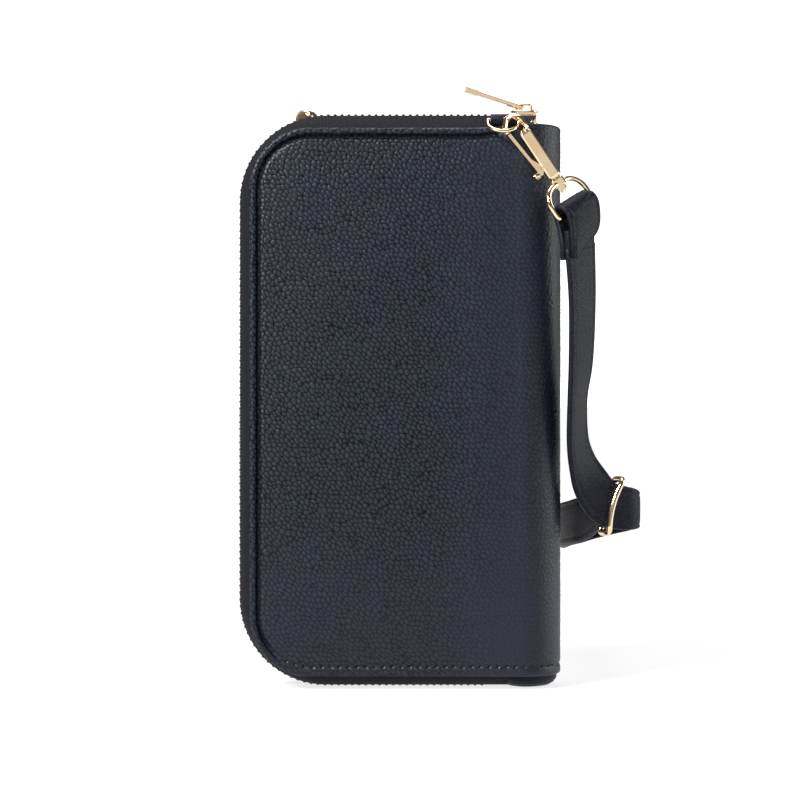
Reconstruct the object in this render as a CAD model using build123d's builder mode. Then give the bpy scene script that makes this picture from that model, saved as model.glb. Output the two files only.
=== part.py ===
"""Wristlet wallet: a zip-around phone wallet in pebbled leather with a clip-on wrist strap.

Frame, in millimetres: X to the right, towards the spine; Y from the back cover to the front
cover; Z up. The wallet stands on its lower zip run, with the origin at the middle of that base.
"""
from build123d import *
import os
from math import cos, pi, radians, sin

os.makedirs("parts", exist_ok=True)

# ---- wallet ----
height = 190.0            # over the zip, bottom to top
left_edge = -53.5         # outside of the zip on its long side
half_depth = 14.0         # covers' outer faces from the middle
spine_x = 39.5            # where the flat covers end and the round spine starts
spine_bottom = 5.0
spine_top = 186.2
chain_radius = 29.0       # the zip's two rounded corners

cover_left = -49.5
cover_bottom = 4.1
cover_top = 184.5
cover_radius = 20.0
hinge_gap = 0.4           # front cover to spine

# ---- layers of a cover, from its outer face inwards ----
skin = 1.1
padding = 0.8
board = 0.7
lining = 0.5
roll_radius = 1.35        # rolled leather edge
skin_inset = 3.0          # the skin's seam, in from the cover's edge

# ---- zip ----
tape_wall = 1.0
tape_flange = 0.6
teeth_pitch = 2.27
tooth_along = 0.9
tooth_tall = 2.0
tooth_root = 2.6          # where a tooth grips its tape, from the middle
tooth_past_middle = 0.5   # how far closed teeth reach across
slider_way = 0.7          # half the way left for the slider's post along the top run
chain_right = 38.6        # the front half of the zip ends here, short of the spine
back_chain_right = 46.0

# ---- strap ----
strap_width = 15.0
strap_thick = 2.0


def facing(depth):
    """Upright plane at this Y. Sketches on it use X and Z, and extrude towards -Y."""
    return Plane.XZ.offset(-depth)


def save(piece, name):
    piece.part.label = name
    export_step(piece.part, f"parts/{name}.step")


def frame_outline(left, bottom, right, top, radius):
    """Filled outline, square at the spine and rounded at its two free corners."""
    with BuildSketch() as outline:
        with Locations(((left + right) / 2, (bottom + top) / 2)):
            Rectangle(right - left, top - bottom)
        fillet(outline.vertices().group_by(Axis.X)[0], radius)
    return outline.sketch


def cover_outline(inset, right):
    return frame_outline(
        cover_left + inset, cover_bottom + inset, right, cover_top - inset, cover_radius - inset
    )


def chain_outline(inset, right):
    return frame_outline(left_edge + inset, inset, right, height - inset, chain_radius - inset)


def pocket_outline(left, bottom, right, top, radius):
    """Filled outline with only its lower free corner rounded, to follow the cover's corner."""
    with BuildSketch() as outline:
        with Locations((left, bottom)):
            Rectangle(right - left, top - bottom, align=(Align.MIN, Align.MIN))
        fillet(outline.vertices().group_by(Axis.X)[0].sort_by(Axis.Y)[0], radius)
    return outline.sketch


def sheet(name, low, high, inset, right):
    """One flat layer of a cover, between two depths."""
    outline = cover_outline(inset, right)
    with BuildPart() as layer:
        with BuildSketch(facing(high)):
            add(outline)
        extrude(amount=high - low)
    save(layer, name)


def rolled_edge(name, depth, right):
    """The round rolled border, along the top, the long side and the bottom of a cover."""
    left = cover_left + roll_radius
    low = cover_bottom + roll_radius
    high = cover_top - roll_radius
    with BuildPart() as roll:
        with BuildLine(facing(depth)) as path:
            FilletPolyline(
                (right, high), (left, high), (left, low), (right, low),
                radius=cover_radius - roll_radius,
            )
        with BuildSketch(Plane(origin=path.line @ 0, z_dir=path.line % 0)):
            Circle(roll_radius)
        sweep()
    save(roll, name)


def zip_tape(name, side, right):
    """Gusset of one zip half: a wall out at the chain and a flange back under the cover's edge."""
    inner, outer = tooth_root, half_depth - skin - padding - board
    flange_right = min(right, spine_x)
    outside = chain_outline(0, right)
    inside = chain_outline(tape_wall, right + 1)
    flange_outside = chain_outline(0, flange_right)
    under_cover = cover_outline(1.2, right + 1)
    with BuildPart() as tape:
        with BuildSketch(facing(outer if side > 0 else -inner)):
            add(outside)
            add(inside, mode=Mode.SUBTRACT)
        extrude(amount=outer - inner)
        with BuildSketch(facing(outer if side > 0 else -outer + tape_flange)):
            add(flange_outside)
            add(under_cover, mode=Mode.SUBTRACT)
        extrude(amount=tape_flange)
    save(tape, name)


def chain_place(distance, right):
    """Place and outward angle on the chain's line, at a distance from its top end."""
    inset = tooth_tall / 2
    radius = chain_radius - inset
    left = left_edge + chain_radius
    run_top = right - left
    quarter = radius * pi / 2
    run_side = height - 2 * chain_radius
    if distance < run_top:
        return right - distance, height - inset, 0.0
    distance -= run_top
    if distance < quarter:
        turn = distance / radius
        return left - radius * sin(turn), height - chain_radius + radius * cos(turn), turn
    distance -= quarter
    if distance < run_side:
        return left_edge + inset, height - chain_radius - distance, pi / 2
    distance -= run_side
    if distance < quarter:
        turn = pi / 2 + distance / radius
        return left - radius * sin(turn), chain_radius + radius * cos(turn), turn
    return left + distance - quarter, inset, pi


def zip_teeth(name, side):
    """Every tooth of one zip half. The two halves are half a pitch apart.

    The teeth are counted from the middle of the lower run. Those on the top run stop short of
    the middle, which leaves the slider's post a way through.
    """
    run_top = chain_right - left_edge - chain_radius
    corner = pi * (chain_radius - tooth_tall / 2)
    to_middle = run_top + corner + height - 2 * chain_radius - left_edge - chain_radius
    before = int((to_middle - 4.0) / teeth_pitch)
    after = int((chain_right - 8.0) / teeth_pitch)
    shift = teeth_pitch / 2 if side > 0 else 0.0
    short, long = [], []
    for number in range(-before, after):
        x, z, turn = chain_place(to_middle + shift + number * teeth_pitch, chain_right)
        group = short if turn == 0 else long
        group.append((x, z, -turn * 180 / pi))
    with BuildPart() as teeth:
        for group, tip in ((short, slider_way), (long, -tooth_past_middle)):
            middle = side * (tooth_root + tip) / 2
            with Locations(*[Location((x, middle, z), (0, turn, 0)) for x, z, turn in group]):
                Box(tooth_along, tooth_root - tip, tooth_tall)
    save(teeth, name)


# ---- the two covers ----
for side, name, right in ((-1, "back", spine_x), (1, "front", spine_x - hinge_gap)):
    depth = half_depth
    for layer, thick, inset in (
        ("skin", skin, skin_inset),
        ("padding", padding, skin_inset + 0.2),
        ("board", board, skin_inset),
        ("lining", lining, 1.5),
    ):
        low, high = sorted((side * depth, side * (depth - thick)))
        sheet(f"{name}_{layer}", low, high, inset, right)
        depth -= thick
    rolled_edge(f"{name}_rolled_edge", side * (half_depth - roll_radius + 0.1), right)
    zip_tape(f"{name}_zip_tape", side, back_chain_right if side < 0 else chain_right)
    zip_teeth(f"{name}_zip_teeth", side)
inner_face = depth

# ---- spine ----
for name, outer, thick, low, high in (
    ("spine_skin", half_depth, skin, spine_bottom, spine_top),
    ("spine_lining", half_depth - skin, lining, spine_bottom + 1, spine_top - 1),
):
    with BuildPart() as spine:
        with BuildSketch(Plane.XY.offset(low)):
            with Locations((spine_x, 0)):
                Circle(outer)
                Circle(outer - thick, mode=Mode.SUBTRACT)
                Rectangle(outer * 2, outer * 2 + 1, align=(Align.MAX, Align.CENTER), mode=Mode.SUBTRACT)
        extrude(amount=high - low)
    save(spine, name)

# the leather ends that close the spine where the two zip halves run out
for name, low in (("top_zip_end", spine_top - 3.2), ("bottom_zip_end", spine_bottom + 2.0)):
    with BuildPart() as end:
        with BuildSketch(Plane.XY.offset(low)):
            with Locations((spine_x + 0.1, 0)):
                Circle(half_depth - skin - lining - 0.15)
                Rectangle(40, 40, align=(Align.MAX, Align.CENTER), mode=Mode.SUBTRACT)
        extrude(amount=1.2)
    save(end, name)

# ---- card slots on the back lining, each shorter than the one behind it ----
slot_count = 5
slot_thick = 0.45
slot_left = -45.0
slot_right = 36.0
slot_bottom = 9.0
slot_first_top = 142.0
slot_step = 15.0
pocket_radius = 22.0
for number in range(slot_count):
    low = -inner_face + number * slot_thick
    slot_top = slot_first_top - number * slot_step
    outline = pocket_outline(slot_left, slot_bottom, slot_right, slot_top, pocket_radius)
    with BuildPart() as slot:
        with BuildSketch(facing(low + slot_thick)):
            add(outline)
        extrude(amount=slot_thick)
    save(slot, f"card_slot_{number + 1}")

# ---- slip pocket on the front lining ----
slip_top = 114.0
slip_thick = 0.6
outline = pocket_outline(slot_left, slot_bottom, slot_right - 1, slip_top, pocket_radius)
with BuildPart() as slip_pocket:
    with BuildSketch(facing(inner_face)):
        add(outline)
    extrude(amount=slip_thick)
save(slip_pocket, "front_slip_pocket")

# ---- zipped coin pocket, a page between the covers ----
page_left = -45.0
page_right = 38.4
page_bottom = 9.0
page_top = 178.0
page_back = -5.2          # depths of the page's two faces
page_front = -0.4
page_skin = 0.6
page_radius = 22.0
page_middle = (page_back + page_front) / 2
page_outline = frame_outline(page_left, page_bottom, page_right, page_top, page_radius)
for name, low in (("coin_pocket_back", page_back), ("coin_pocket_front", page_front - page_skin)):
    with BuildPart() as panel:
        with BuildSketch(facing(low + page_skin)):
            add(page_outline)
        extrude(amount=page_skin)
    save(panel, name)

page_inside = page_front - page_back - 2 * page_skin
page_edge = 1.2
page_hollow = frame_outline(
    page_left + page_edge, page_bottom + page_edge, page_right - page_edge, page_top - page_edge,
    page_radius - page_edge,
)
coin_mouth_left = page_left + page_radius
coin_mouth_right = page_right - page_edge
with BuildPart() as gusset:
    with BuildSketch(facing(page_front - page_skin)):
        add(page_outline)
        add(page_hollow, mode=Mode.SUBTRACT)
        with Locations((coin_mouth_left, page_top)):
            Rectangle(
                coin_mouth_right - coin_mouth_left, 2 * page_edge,
                align=(Align.MIN, Align.CENTER), mode=Mode.SUBTRACT,
            )
    extrude(amount=page_inside)
save(gusset, "coin_pocket_gusset")

coin_half_gap = 0.75
for side, name in ((-1, "back"), (1, "front")):
    with BuildPart() as coin_tape:
        with BuildSketch(Plane.XY.offset(page_top - 0.9)):
            with Locations((coin_mouth_left, page_middle + side * coin_half_gap)):
                Rectangle(
                    coin_mouth_right - coin_mouth_left, page_inside / 2 - coin_half_gap,
                    align=(Align.MIN, Align.MIN if side > 0 else Align.MAX),
                )
        extrude(amount=0.8)
    save(coin_tape, f"coin_tape_{name}")

coin_pitch = 1.8
coin_post = 0.5
coin_left = coin_mouth_left + 2
coin_slider_x = 27.0
with BuildPart() as coin_teeth:
    steps = int((coin_slider_x - 6 - coin_left) / coin_pitch)
    for side in (-1, 1):
        row = page_middle + side * (coin_post / 2 + 0.1)
        alignment = (Align.CENTER, Align.MIN if side > 0 else Align.MAX, Align.CENTER)
        shift = coin_left + side * coin_pitch / 4
        with Locations(*[(shift + n * coin_pitch, row, page_top - 0.6) for n in range(steps)]):
            Box(0.8, 0.4, 1.2, align=alignment)
save(coin_teeth, "coin_zip_teeth")


bridge_wall = 0.8


def slider(name, centre, length, width, tall, plate, wing, post, bridge):
    """Zip slider: two plates joined by a post at its open end, with a bridge for the pull."""
    x, y, z = centre
    bridge_long, bridge_tall, bridge_wide = bridge
    with BuildPart() as body:
        with BuildSketch(Plane.XY.offset(z + tall / 2 - plate)):
            with Locations((x, y)):
                RectangleRounded(length, width, width * 0.3)
        extrude(amount=plate)
        with BuildSketch(Plane.XY.offset(z - tall / 2)):
            with Locations((x, y)):
                RectangleRounded(length, width, width * 0.3)
        extrude(amount=plate)
        with Locations((x + length / 2 - 1.4, y, z)):
            Box(1.6, post, tall - plate)
        with Locations(*[(x, y + s * (width / 2 - wing / 2), z + tall / 2 - plate) for s in (-1, 1)]):
            Box(length * 0.6, wing, wing, align=(Align.CENTER, Align.CENTER, Align.MAX))
        with BuildSketch(facing(y + bridge_wide / 2)):
            with Locations((x, z + tall / 2 - 0.1)):
                Rectangle(bridge_long, bridge_tall, align=(Align.CENTER, Align.MIN))
                Rectangle(
                    bridge_long - 2 * bridge_wall, bridge_tall - bridge_wall,
                    align=(Align.CENTER, Align.MIN), mode=Mode.SUBTRACT,
                )
        extrude(amount=bridge_wide)
    save(body, name)


# ---- main slider, parked at the closed end by the spine ----
slider_centre = (41.5, 0.0, 189.0)
slider_length = 9.0
slider_tall = 4.9
slider("main_slider", slider_centre, slider_length, 7.6, slider_tall, 0.9, 0.5, 1.1, (5.6, 2.7, 1.6))
pull_pivot = (40.6, 0.0, slider_centre[2] + slider_tall / 2 + 1.0)

# ---- main pull, held up above the zip and pointing away from the spine ----
pull_rise = 18.0
pull_length = 20.5
pull_wide = 4.2
pull_thick = 1.2
pull_direction = Vector(-cos(radians(pull_rise)), 0, sin(radians(pull_rise)))
pull_plane = Plane(origin=pull_pivot, x_dir=pull_direction, z_dir=pull_direction.cross(Vector(0, 1, 0)))
with BuildPart() as main_pull:
    with BuildSketch(pull_plane.offset(-pull_thick / 2)):
        with Locations((-0.6, 0)):
            Rectangle(pull_length, pull_wide, align=(Align.MIN, Align.CENTER))
        with Locations((0.5, 0)):
            Rectangle(4.5, 2.3, align=(Align.MIN, Align.CENTER), mode=Mode.SUBTRACT)
    extrude(amount=pull_thick)
    with BuildSketch(pull_plane.offset(-pull_thick / 2 - 0.25)):
        with Locations((pull_length - 0.6, 0)):
            Rectangle(4.5, pull_wide, align=(Align.MAX, Align.CENTER))
    extrude(amount=pull_thick + 0.5)
save(main_pull, "main_pull")

# ---- coin slider and its pull ----
coin_centre = (coin_slider_x, page_middle, page_top - 0.5)
slider("coin_slider", coin_centre, 6.0, 3.4, 2.6, 0.5, 0.3, coin_post, (3.6, 2.1, 1.0))
coin_pull_pivot = Vector(coin_slider_x, page_middle, page_top - 0.5 + 1.3 + 0.5)
coin_pull_plane = Plane(origin=coin_pull_pivot, x_dir=(-1, 0, 0), z_dir=(0, 0, 1))
with BuildPart() as coin_pull:
    with BuildSketch(coin_pull_plane.offset(-0.3)):
        with Locations((-0.3, 0)):
            Rectangle(10.0, 2.8, align=(Align.MIN, Align.CENTER))
        with Locations((0.4, 0)):
            Rectangle(2.2, 1.6, align=(Align.MIN, Align.CENTER), mode=Mode.SUBTRACT)
    extrude(amount=0.6)
save(coin_pull, "coin_pull")

# ---- D-ring on its leather tab, at the top of the back cover ----
ring_centre = (33.8, -13.4, 187.0)
ring_half = 4.95
ring_side = 2.2           # straight part of the D before its round end
ring_wire = 0.65
ring_down = Vector(0, -0.8, -0.6)
ring_plane = Plane(origin=ring_centre, x_dir=(1, 0, 0), z_dir=Vector(1, 0, 0).cross(ring_down))
tab_radius = 1.9
tab_length = 8.2
with BuildPart() as ring_bow:
    with BuildLine(Plane.XY) as bow:
        Line((-ring_half, 0), (-ring_half, ring_side))
        ThreePointArc((-ring_half, ring_side), (0, ring_side + ring_half), (ring_half, ring_side))
        Line((ring_half, ring_side), (ring_half, 0))
    with BuildSketch(Plane(origin=bow.line @ 0, z_dir=bow.line % 0)):
        Circle(ring_wire)
    sweep()

with BuildPart() as d_ring:
    with Locations(ring_plane.location):
        add(ring_bow.part)
    with Locations(Location(ring_centre, (0, 90, 0))):
        Cylinder(ring_wire, 2 * ring_half)
    with Locations(*[(ring_centre[0] + s * ring_half, ring_centre[1], ring_centre[2]) for s in (-1, 1)]):
        Sphere(ring_wire * 1.02)
save(d_ring, "d_ring")

with BuildPart() as ring_tab:
    with Locations(Location(ring_centre, (0, 90, 0))):
        Cylinder(tab_radius, tab_length)
    with Locations((ring_centre[0], -12.0, cover_top + 0.1)):
        Box(tab_length, 1.1, 2.0, align=(Align.CENTER, Align.CENTER, Align.MIN))
    with Locations(Location(ring_centre, (0, 90, 0))):
        Cylinder(ring_wire + 0.08, tab_length + 2, mode=Mode.SUBTRACT)
save(ring_tab, "d_ring_tab")

# ---- swivel clasp, hanging from the D-ring: x along it, y across it ----
clasp_origin = Vector(37.0, -16.6, 184.5)
clasp_axis = Vector(0.555, 0, -0.832).normalized()
clasp_plane = Plane(origin=clasp_origin, x_dir=clasp_axis, z_dir=(0, -1, 0))
clasp_across = clasp_plane.y_dir
gate_pivot = clasp_plane.from_local_coords((16.6, 0.2, 0))
gate_pin_radius = 0.5
body_middle = 2.2         # the body's centre line, across from the hook's mouth
body_wide = 4.0
body_start = 3.4
body_end = 21.5
body_thick = 3.0
hook_thick = 1.7
post_radius = 0.9
with BuildPart() as clasp_body:
    with BuildSketch(clasp_plane.offset(-body_thick / 2)):
        with Locations((body_start, body_middle)):
            Rectangle(body_end - body_start, body_wide, align=(Align.MIN, Align.CENTER))
    extrude(amount=body_thick)
    with BuildSketch(clasp_plane.offset(-hook_thick / 2)):
        with BuildLine():
            Polyline(
                (body_start + 1, 4.2), (body_start + 1, 2.7), (2.6, 2.7), (0.4, 2.7), (-2.2, 1.4),
                (-2.2, -0.6), (-0.6, -1.9), (1.2, -1.9), (1.2, -3.4), (-1.4, -3.4), (-4.0, -1.2),
                (-4.0, 1.9), (-1.4, 4.2), close=True,
            )
        make_face()
    extrude(amount=hook_thick)
    with Locations(Location(gate_pivot, (90, 0, 0))):
        Cylinder(1.0, body_thick)
    # slot that the gate's root and its spring sit in
    with BuildSketch(clasp_plane.offset(-0.75)):
        with Locations((8.0, -1.5)):
            Rectangle(10.6, 3.4, align=(Align.MIN, Align.MIN))
    extrude(amount=1.5, mode=Mode.SUBTRACT)
    # bore that the swivel post turns in
    with BuildSketch(Plane(origin=clasp_plane.from_local_coords((19.2, body_middle, 0)), z_dir=clasp_axis)):
        Circle(post_radius + 0.07)
    extrude(amount=6, mode=Mode.SUBTRACT)
    with Locations(Location(gate_pivot, (90, 0, 0))):
        Cylinder(gate_pin_radius + 0.03, 6, mode=Mode.SUBTRACT)
save(clasp_body, "clasp_body")

with BuildPart() as gate_pin:
    with Locations(Location(gate_pivot, (90, 0, 0))):
        Cylinder(gate_pin_radius, body_thick + 0.4)
save(gate_pin, "gate_pin")

with BuildPart() as clasp_gate:
    with BuildSketch(clasp_plane.offset(-1.2)):
        with BuildLine():
            Polyline((1.6, -2.1), (1.6, -3.2), (14.8, -1.9), (14.8, -0.9), close=True)
        make_face()
    extrude(amount=2.4)
    with BuildSketch(clasp_plane.offset(-0.6)):
        with BuildLine():
            Polyline((12.0, -1.2), (12.0, -2.1), (18.7, -1.5), (18.7, -0.5), (16.6, 0.9), close=True)
        make_face()
        with Locations((16.6, 0.2)):
            Circle(0.95)
    extrude(amount=1.2)
    with Locations(Location(gate_pivot, (90, 0, 0))):
        Cylinder(gate_pin_radius + 0.05, 6, mode=Mode.SUBTRACT)
save(clasp_gate, "clasp_gate")

with BuildPart() as gate_spring:
    with Locations(clasp_plane.location * Location((11.5, 0.9, 0))):
        Box(5.0, 0.5, 0.8)
save(gate_spring, "gate_spring")

with BuildPart() as thumb_knob:
    with Locations(clasp_plane.location * Location((18.0, -2.5, 0), (90, 0, 0))):
        Cylinder(1.1, 1.6)
save(thumb_knob, "clasp_thumb_knob")

# ---- swivel eye: post, collar and a D-shaped eye turned away from the clasp's flat face ----
eye_turn = 36.0
eye_top = 23.8
eye_bar = 34.0            # distance of the strap bar along the clasp
eye_half = 8.7
eye_wire = 0.85
eye_round = 6.2
axis_point = clasp_plane.from_local_coords((0, body_middle, 0))
bar_direction = clasp_across * cos(radians(eye_turn)) + Vector(0, 1, 0) * sin(radians(eye_turn))
eye_plane = Plane(origin=axis_point, x_dir=clasp_axis, z_dir=clasp_axis.cross(bar_direction))
with BuildPart() as eye_loop:
    with BuildLine(Plane.XY) as loop:
        Line((eye_top, 1), (eye_top, eye_half - eye_round))
        TangentArc((eye_top, eye_half - eye_round), (eye_top + eye_round, eye_half), tangent=(0, 1))
        Line((eye_top + eye_round, eye_half), (eye_bar - 1, eye_half))
        TangentArc((eye_bar - 1, eye_half), (eye_bar, eye_half - 1), tangent=(1, 0))
        Line((eye_bar, eye_half - 1), (eye_bar, 1 - eye_half))
        TangentArc((eye_bar, 1 - eye_half), (eye_bar - 1, -eye_half), tangent=(0, -1))
        Line((eye_bar - 1, -eye_half), (eye_top + eye_round, -eye_half))
        TangentArc((eye_top + eye_round, -eye_half), (eye_top, eye_round - eye_half), tangent=(-1, 0))
        Line((eye_top, eye_round - eye_half), (eye_top, -1))
    with BuildSketch(Plane(origin=loop.line @ 0, z_dir=loop.line % 0)):
        Circle(eye_wire)
    sweep()

with BuildPart() as swivel_eye:
    with Locations(eye_plane.location):
        add(eye_loop.part)
    with Locations(eye_plane.location * Location((eye_top, 0, 0))):
        Box(3.9, 4.2, 3.0)
    with BuildSketch(Plane(origin=axis_point + clasp_axis * 19.4, z_dir=clasp_axis)):
        Circle(post_radius)
    extrude(amount=3.5)
save(swivel_eye, "swivel_eye")

# ---- strap end, folded round the eye's bar and sewn to a neck ----
bar_centre = axis_point + clasp_axis * eye_bar
wrap_radius = 3.1
neck = Vector(58.9, -16.4, 145.5)
neck_across = Vector(0.66, 0.75, 0)
wrap_down = (neck - bar_centre).normalized()
wrap_down = (wrap_down - bar_direction * wrap_down.dot(bar_direction)).normalized()
neck_along = neck_across.cross((neck - bar_centre).cross(neck_across)).normalized()
with BuildPart() as strap_end:
    with BuildSketch(Plane(origin=bar_centre - bar_direction * strap_width / 2, z_dir=bar_direction)):
        Circle(wrap_radius)
    extrude(amount=strap_width)
    with BuildSketch(Plane(origin=bar_centre, x_dir=bar_direction, z_dir=wrap_down)):
        Rectangle(strap_width, 2 * wrap_radius - 0.2)
    with BuildSketch(Plane(origin=neck, x_dir=neck_across, z_dir=neck_along)):
        Rectangle(strap_width, 2 * strap_thick + 0.4)
    loft()
    with BuildSketch(Plane(origin=bar_centre - bar_direction * strap_width, z_dir=bar_direction)):
        Circle(eye_wire + 0.3)
    extrude(amount=2 * strap_width, mode=Mode.SUBTRACT)
save(strap_end, "strap_end")


upright = (0, 0, 1)
run_down = [
    (tuple(neck), tuple(neck_across)),
    ((59.9, -13.0, 128.0), (0.59, 0.81, 0)),
    ((59.7, -10.0, 108.0), (0.53, 0.85, 0)),
    ((58.7, -8.0, 95.0), (0.42, 0.90, 0.05)),
    ((58.9, -5.5, 82.0), (0.46, 0.87, 0.15)),
    ((60.6, -3.5, 74.0), (0.50, 0.70, 0.45)),
    ((64.0, -2.0, 66.5), (0.45, 0.35, 0.80)),
    ((68.0, 0.0, 61.2), (0.20, 0.10, 0.97)),
    ((71.3, 1.5, 59.5), (0.10, 0, 0.99)),
    ((75.0, 3.3, 58.8), (0.05, 0, 1)),
    ((77.8, 4.9, 58.5), upright),
]
fold_back = [
    ((79.9, 7.6, 58.4), upright),
    ((79.3, 10.9, 58.2), upright),
    ((76.4, 13.0, 58.0), upright),
]
# the wrist loop's two legs run side by side and open into a round end
loop_line = [
    (69.0, 14.2, 56.6, 5.2), (64.6, 19.0, 55.0, 3.2), (61.0, 26.0, 53.2, 2.7),
    (58.4, 36.0, 51.8, 2.6), (57.4, 48.0, 50.4, 2.6), (57.4, 62.0, 49.2, 2.8),
    (57.6, 80.0, 47.7, 4.0), (58.4, 100.0, 46.0, 7.6), (59.6, 116.0, 44.5, 10.6),
    (60.4, 128.0, 43.3, 11.0),
]


def loop_leg(side):
    """Stations of one leg, half the gap away from the loop's middle line."""
    leg = []
    last = len(loop_line) - 1
    for number, (x, y, z, gap) in enumerate(loop_line):
        ahead = loop_line[min(number + 1, last)]
        behind = loop_line[max(number - 1, 0)]
        along = Vector(ahead[0] - behind[0], ahead[1] - behind[1], 0).normalized()
        sideways = Vector(along.Y, -along.X, 0)
        centre = Vector(x, y, z) + sideways * (side * gap / 2)
        leg.append((tuple(centre), upright))
    return leg


end_x, end_y, end_z, end_gap = loop_line[-1]
loop_end = []
for step in (1, 2, 3, 4, 5):
    turn = step * pi / 6
    loop_end.append((
        (end_x + end_gap / 2 * cos(turn), end_y + end_gap / 2 * sin(turn), end_z - 2.2 * sin(turn)),
        upright,
    ))

# ---- slide adjuster: a wire frame round both layers of the strap ----
slide_run = Vector(71.3, 1.5, 59.5)
slide_deep = Vector(-0.45, 0.893, 0).normalized()
slide_up = Vector(0.27, 0.13, 0.94)
slide_up = (slide_up - slide_deep * slide_up.dot(slide_deep)).normalized()
slide_wire = 0.95
near_bar = -2.3
far_bar = 3.6
slide_half = 9.4
slide_plane = Plane(origin=slide_run, x_dir=slide_deep, z_dir=slide_deep.cross(slide_up))
near_straight = slide_half - 3
with BuildPart() as slide_wire_bow:
    with BuildLine(Plane.XY) as wire:
        Line((near_bar, near_straight), (near_bar, slide_half - 2))
        TangentArc((near_bar, slide_half - 2), (near_bar + 2, slide_half), tangent=(0, 1))
        Line((near_bar + 2, slide_half), (far_bar - 1, slide_half))
        TangentArc((far_bar - 1, slide_half), (far_bar, slide_half - 1), tangent=(1, 0))
        Line((far_bar, slide_half - 1), (far_bar, 1 - slide_half))
        TangentArc((far_bar, 1 - slide_half), (far_bar - 1, -slide_half), tangent=(0, -1))
        Line((far_bar - 1, -slide_half), (near_bar + 2, -slide_half))
        TangentArc((near_bar + 2, -slide_half), (near_bar, 2 - slide_half), tangent=(-1, 0))
        Line((near_bar, 2 - slide_half), (near_bar, -near_straight))
    with BuildSketch(Plane(origin=wire.line @ 0, z_dir=wire.line % 0)):
        Circle(slide_wire)
    sweep()

with BuildPart() as slide:
    with Locations(slide_plane.location):
        add(slide_wire_bow.part)
    near_end = slide_plane.from_local_coords((near_bar, -near_straight - 0.5, 0))
    with BuildSketch(Plane(origin=near_end, z_dir=slide_up)):
        Circle(slide_wire * 1.03)
    extrude(amount=2 * near_straight + 1)
save(slide, "strap_slide")

# the strap's other end, folded round the slide's far bar
bar_point = slide_run + slide_deep * far_bar
fold_radius = 2.1
with BuildPart() as slide_fold:
    with BuildSketch(Plane(origin=bar_point - slide_up * strap_width / 2, z_dir=slide_up)):
        Circle(fold_radius)
        Circle(slide_wire + 0.1, mode=Mode.SUBTRACT)
    extrude(amount=strap_width)
save(slide_fold, "strap_slide_fold")

# ---- the strap: one flat ribbon from its neck, through the slide, round the loop and back ----
return_leg = loop_leg(-1)[:0:-1]
leg_start = Vector(return_leg[-1][0])
fold_out = leg_start - bar_point
fold_out = (fold_out - slide_up * fold_out.dot(slide_up)).normalized()
fold_end = [(tuple(bar_point + fold_out * (fold_radius + 0.1)), tuple(slide_up))]
route = run_down + fold_back + loop_leg(1) + loop_end + return_leg + fold_end


def section_plane(number):
    """Plane across the strap at one station of its route."""
    centre, across = route[number]
    ahead = Vector(route[min(number + 1, len(route) - 1)][0])
    behind = Vector(route[max(number - 1, 0)][0])
    along = (ahead - behind).normalized()
    if number == 0:
        along = neck_along
    if number == len(route) - 1:
        along = -fold_out
    wide = Vector(across) - along * Vector(across).dot(along)
    return Plane(origin=centre, x_dir=wide.normalized(), z_dir=along)


def ribbon(name, first, last):
    with BuildPart() as strap:
        for number in range(first, last + 1):
            with BuildSketch(section_plane(number)):
                Rectangle(strap_width, strap_thick)
        loft(ruled=True)
    save(strap, name)


turn_starts = len(run_down) + len(fold_back) - 1
end_starts = turn_starts + len(loop_line)
end_stops = end_starts + len(loop_end) + 1
ribbon("strap_run", 0, turn_starts)
ribbon("strap_loop_outer", turn_starts, end_starts)
ribbon("strap_loop_end", end_starts, end_stops)
ribbon("strap_loop_inner", end_stops, len(route) - 1)

# ---- strap lug on the front cover's top edge ----
lug_centre = Vector(-31.6, 15.4, 190.4)
lug_axis = Vector(-0.42, -0.9, 0).normalized()
lug_radius = 3.1
lug_length = 4.6
with BuildPart() as lug:
    with BuildSketch(Plane(origin=lug_centre - lug_axis * lug_length / 2, z_dir=lug_axis)):
        Circle(lug_radius)
    extrude(amount=lug_length)
    with Locations((lug_centre.X, half_depth + 0.1 + 0.6, lug_centre.Z - 1.5)):
        Box(5.0, 1.2, 12.0, align=(Align.CENTER, Align.CENTER, Align.MAX))
    with BuildSketch(Plane(origin=lug_centre + lug_axis * lug_length, z_dir=lug_axis)):
        Circle(1.1)
    extrude(amount=-3.6, mode=Mode.SUBTRACT)
save(lug, "strap_lug")

with BuildPart() as lug_screw:
    with BuildSketch(Plane(origin=lug_centre + lug_axis * lug_length / 2, z_dir=lug_axis)):
        Circle(1.9)
    extrude(amount=0.7)
    with BuildSketch(Plane(origin=lug_centre + lug_axis * lug_length / 2, z_dir=lug_axis)):
        Circle(1.05)
    extrude(amount=-1.2)
save(lug_screw, "strap_lug_screw")
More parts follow.
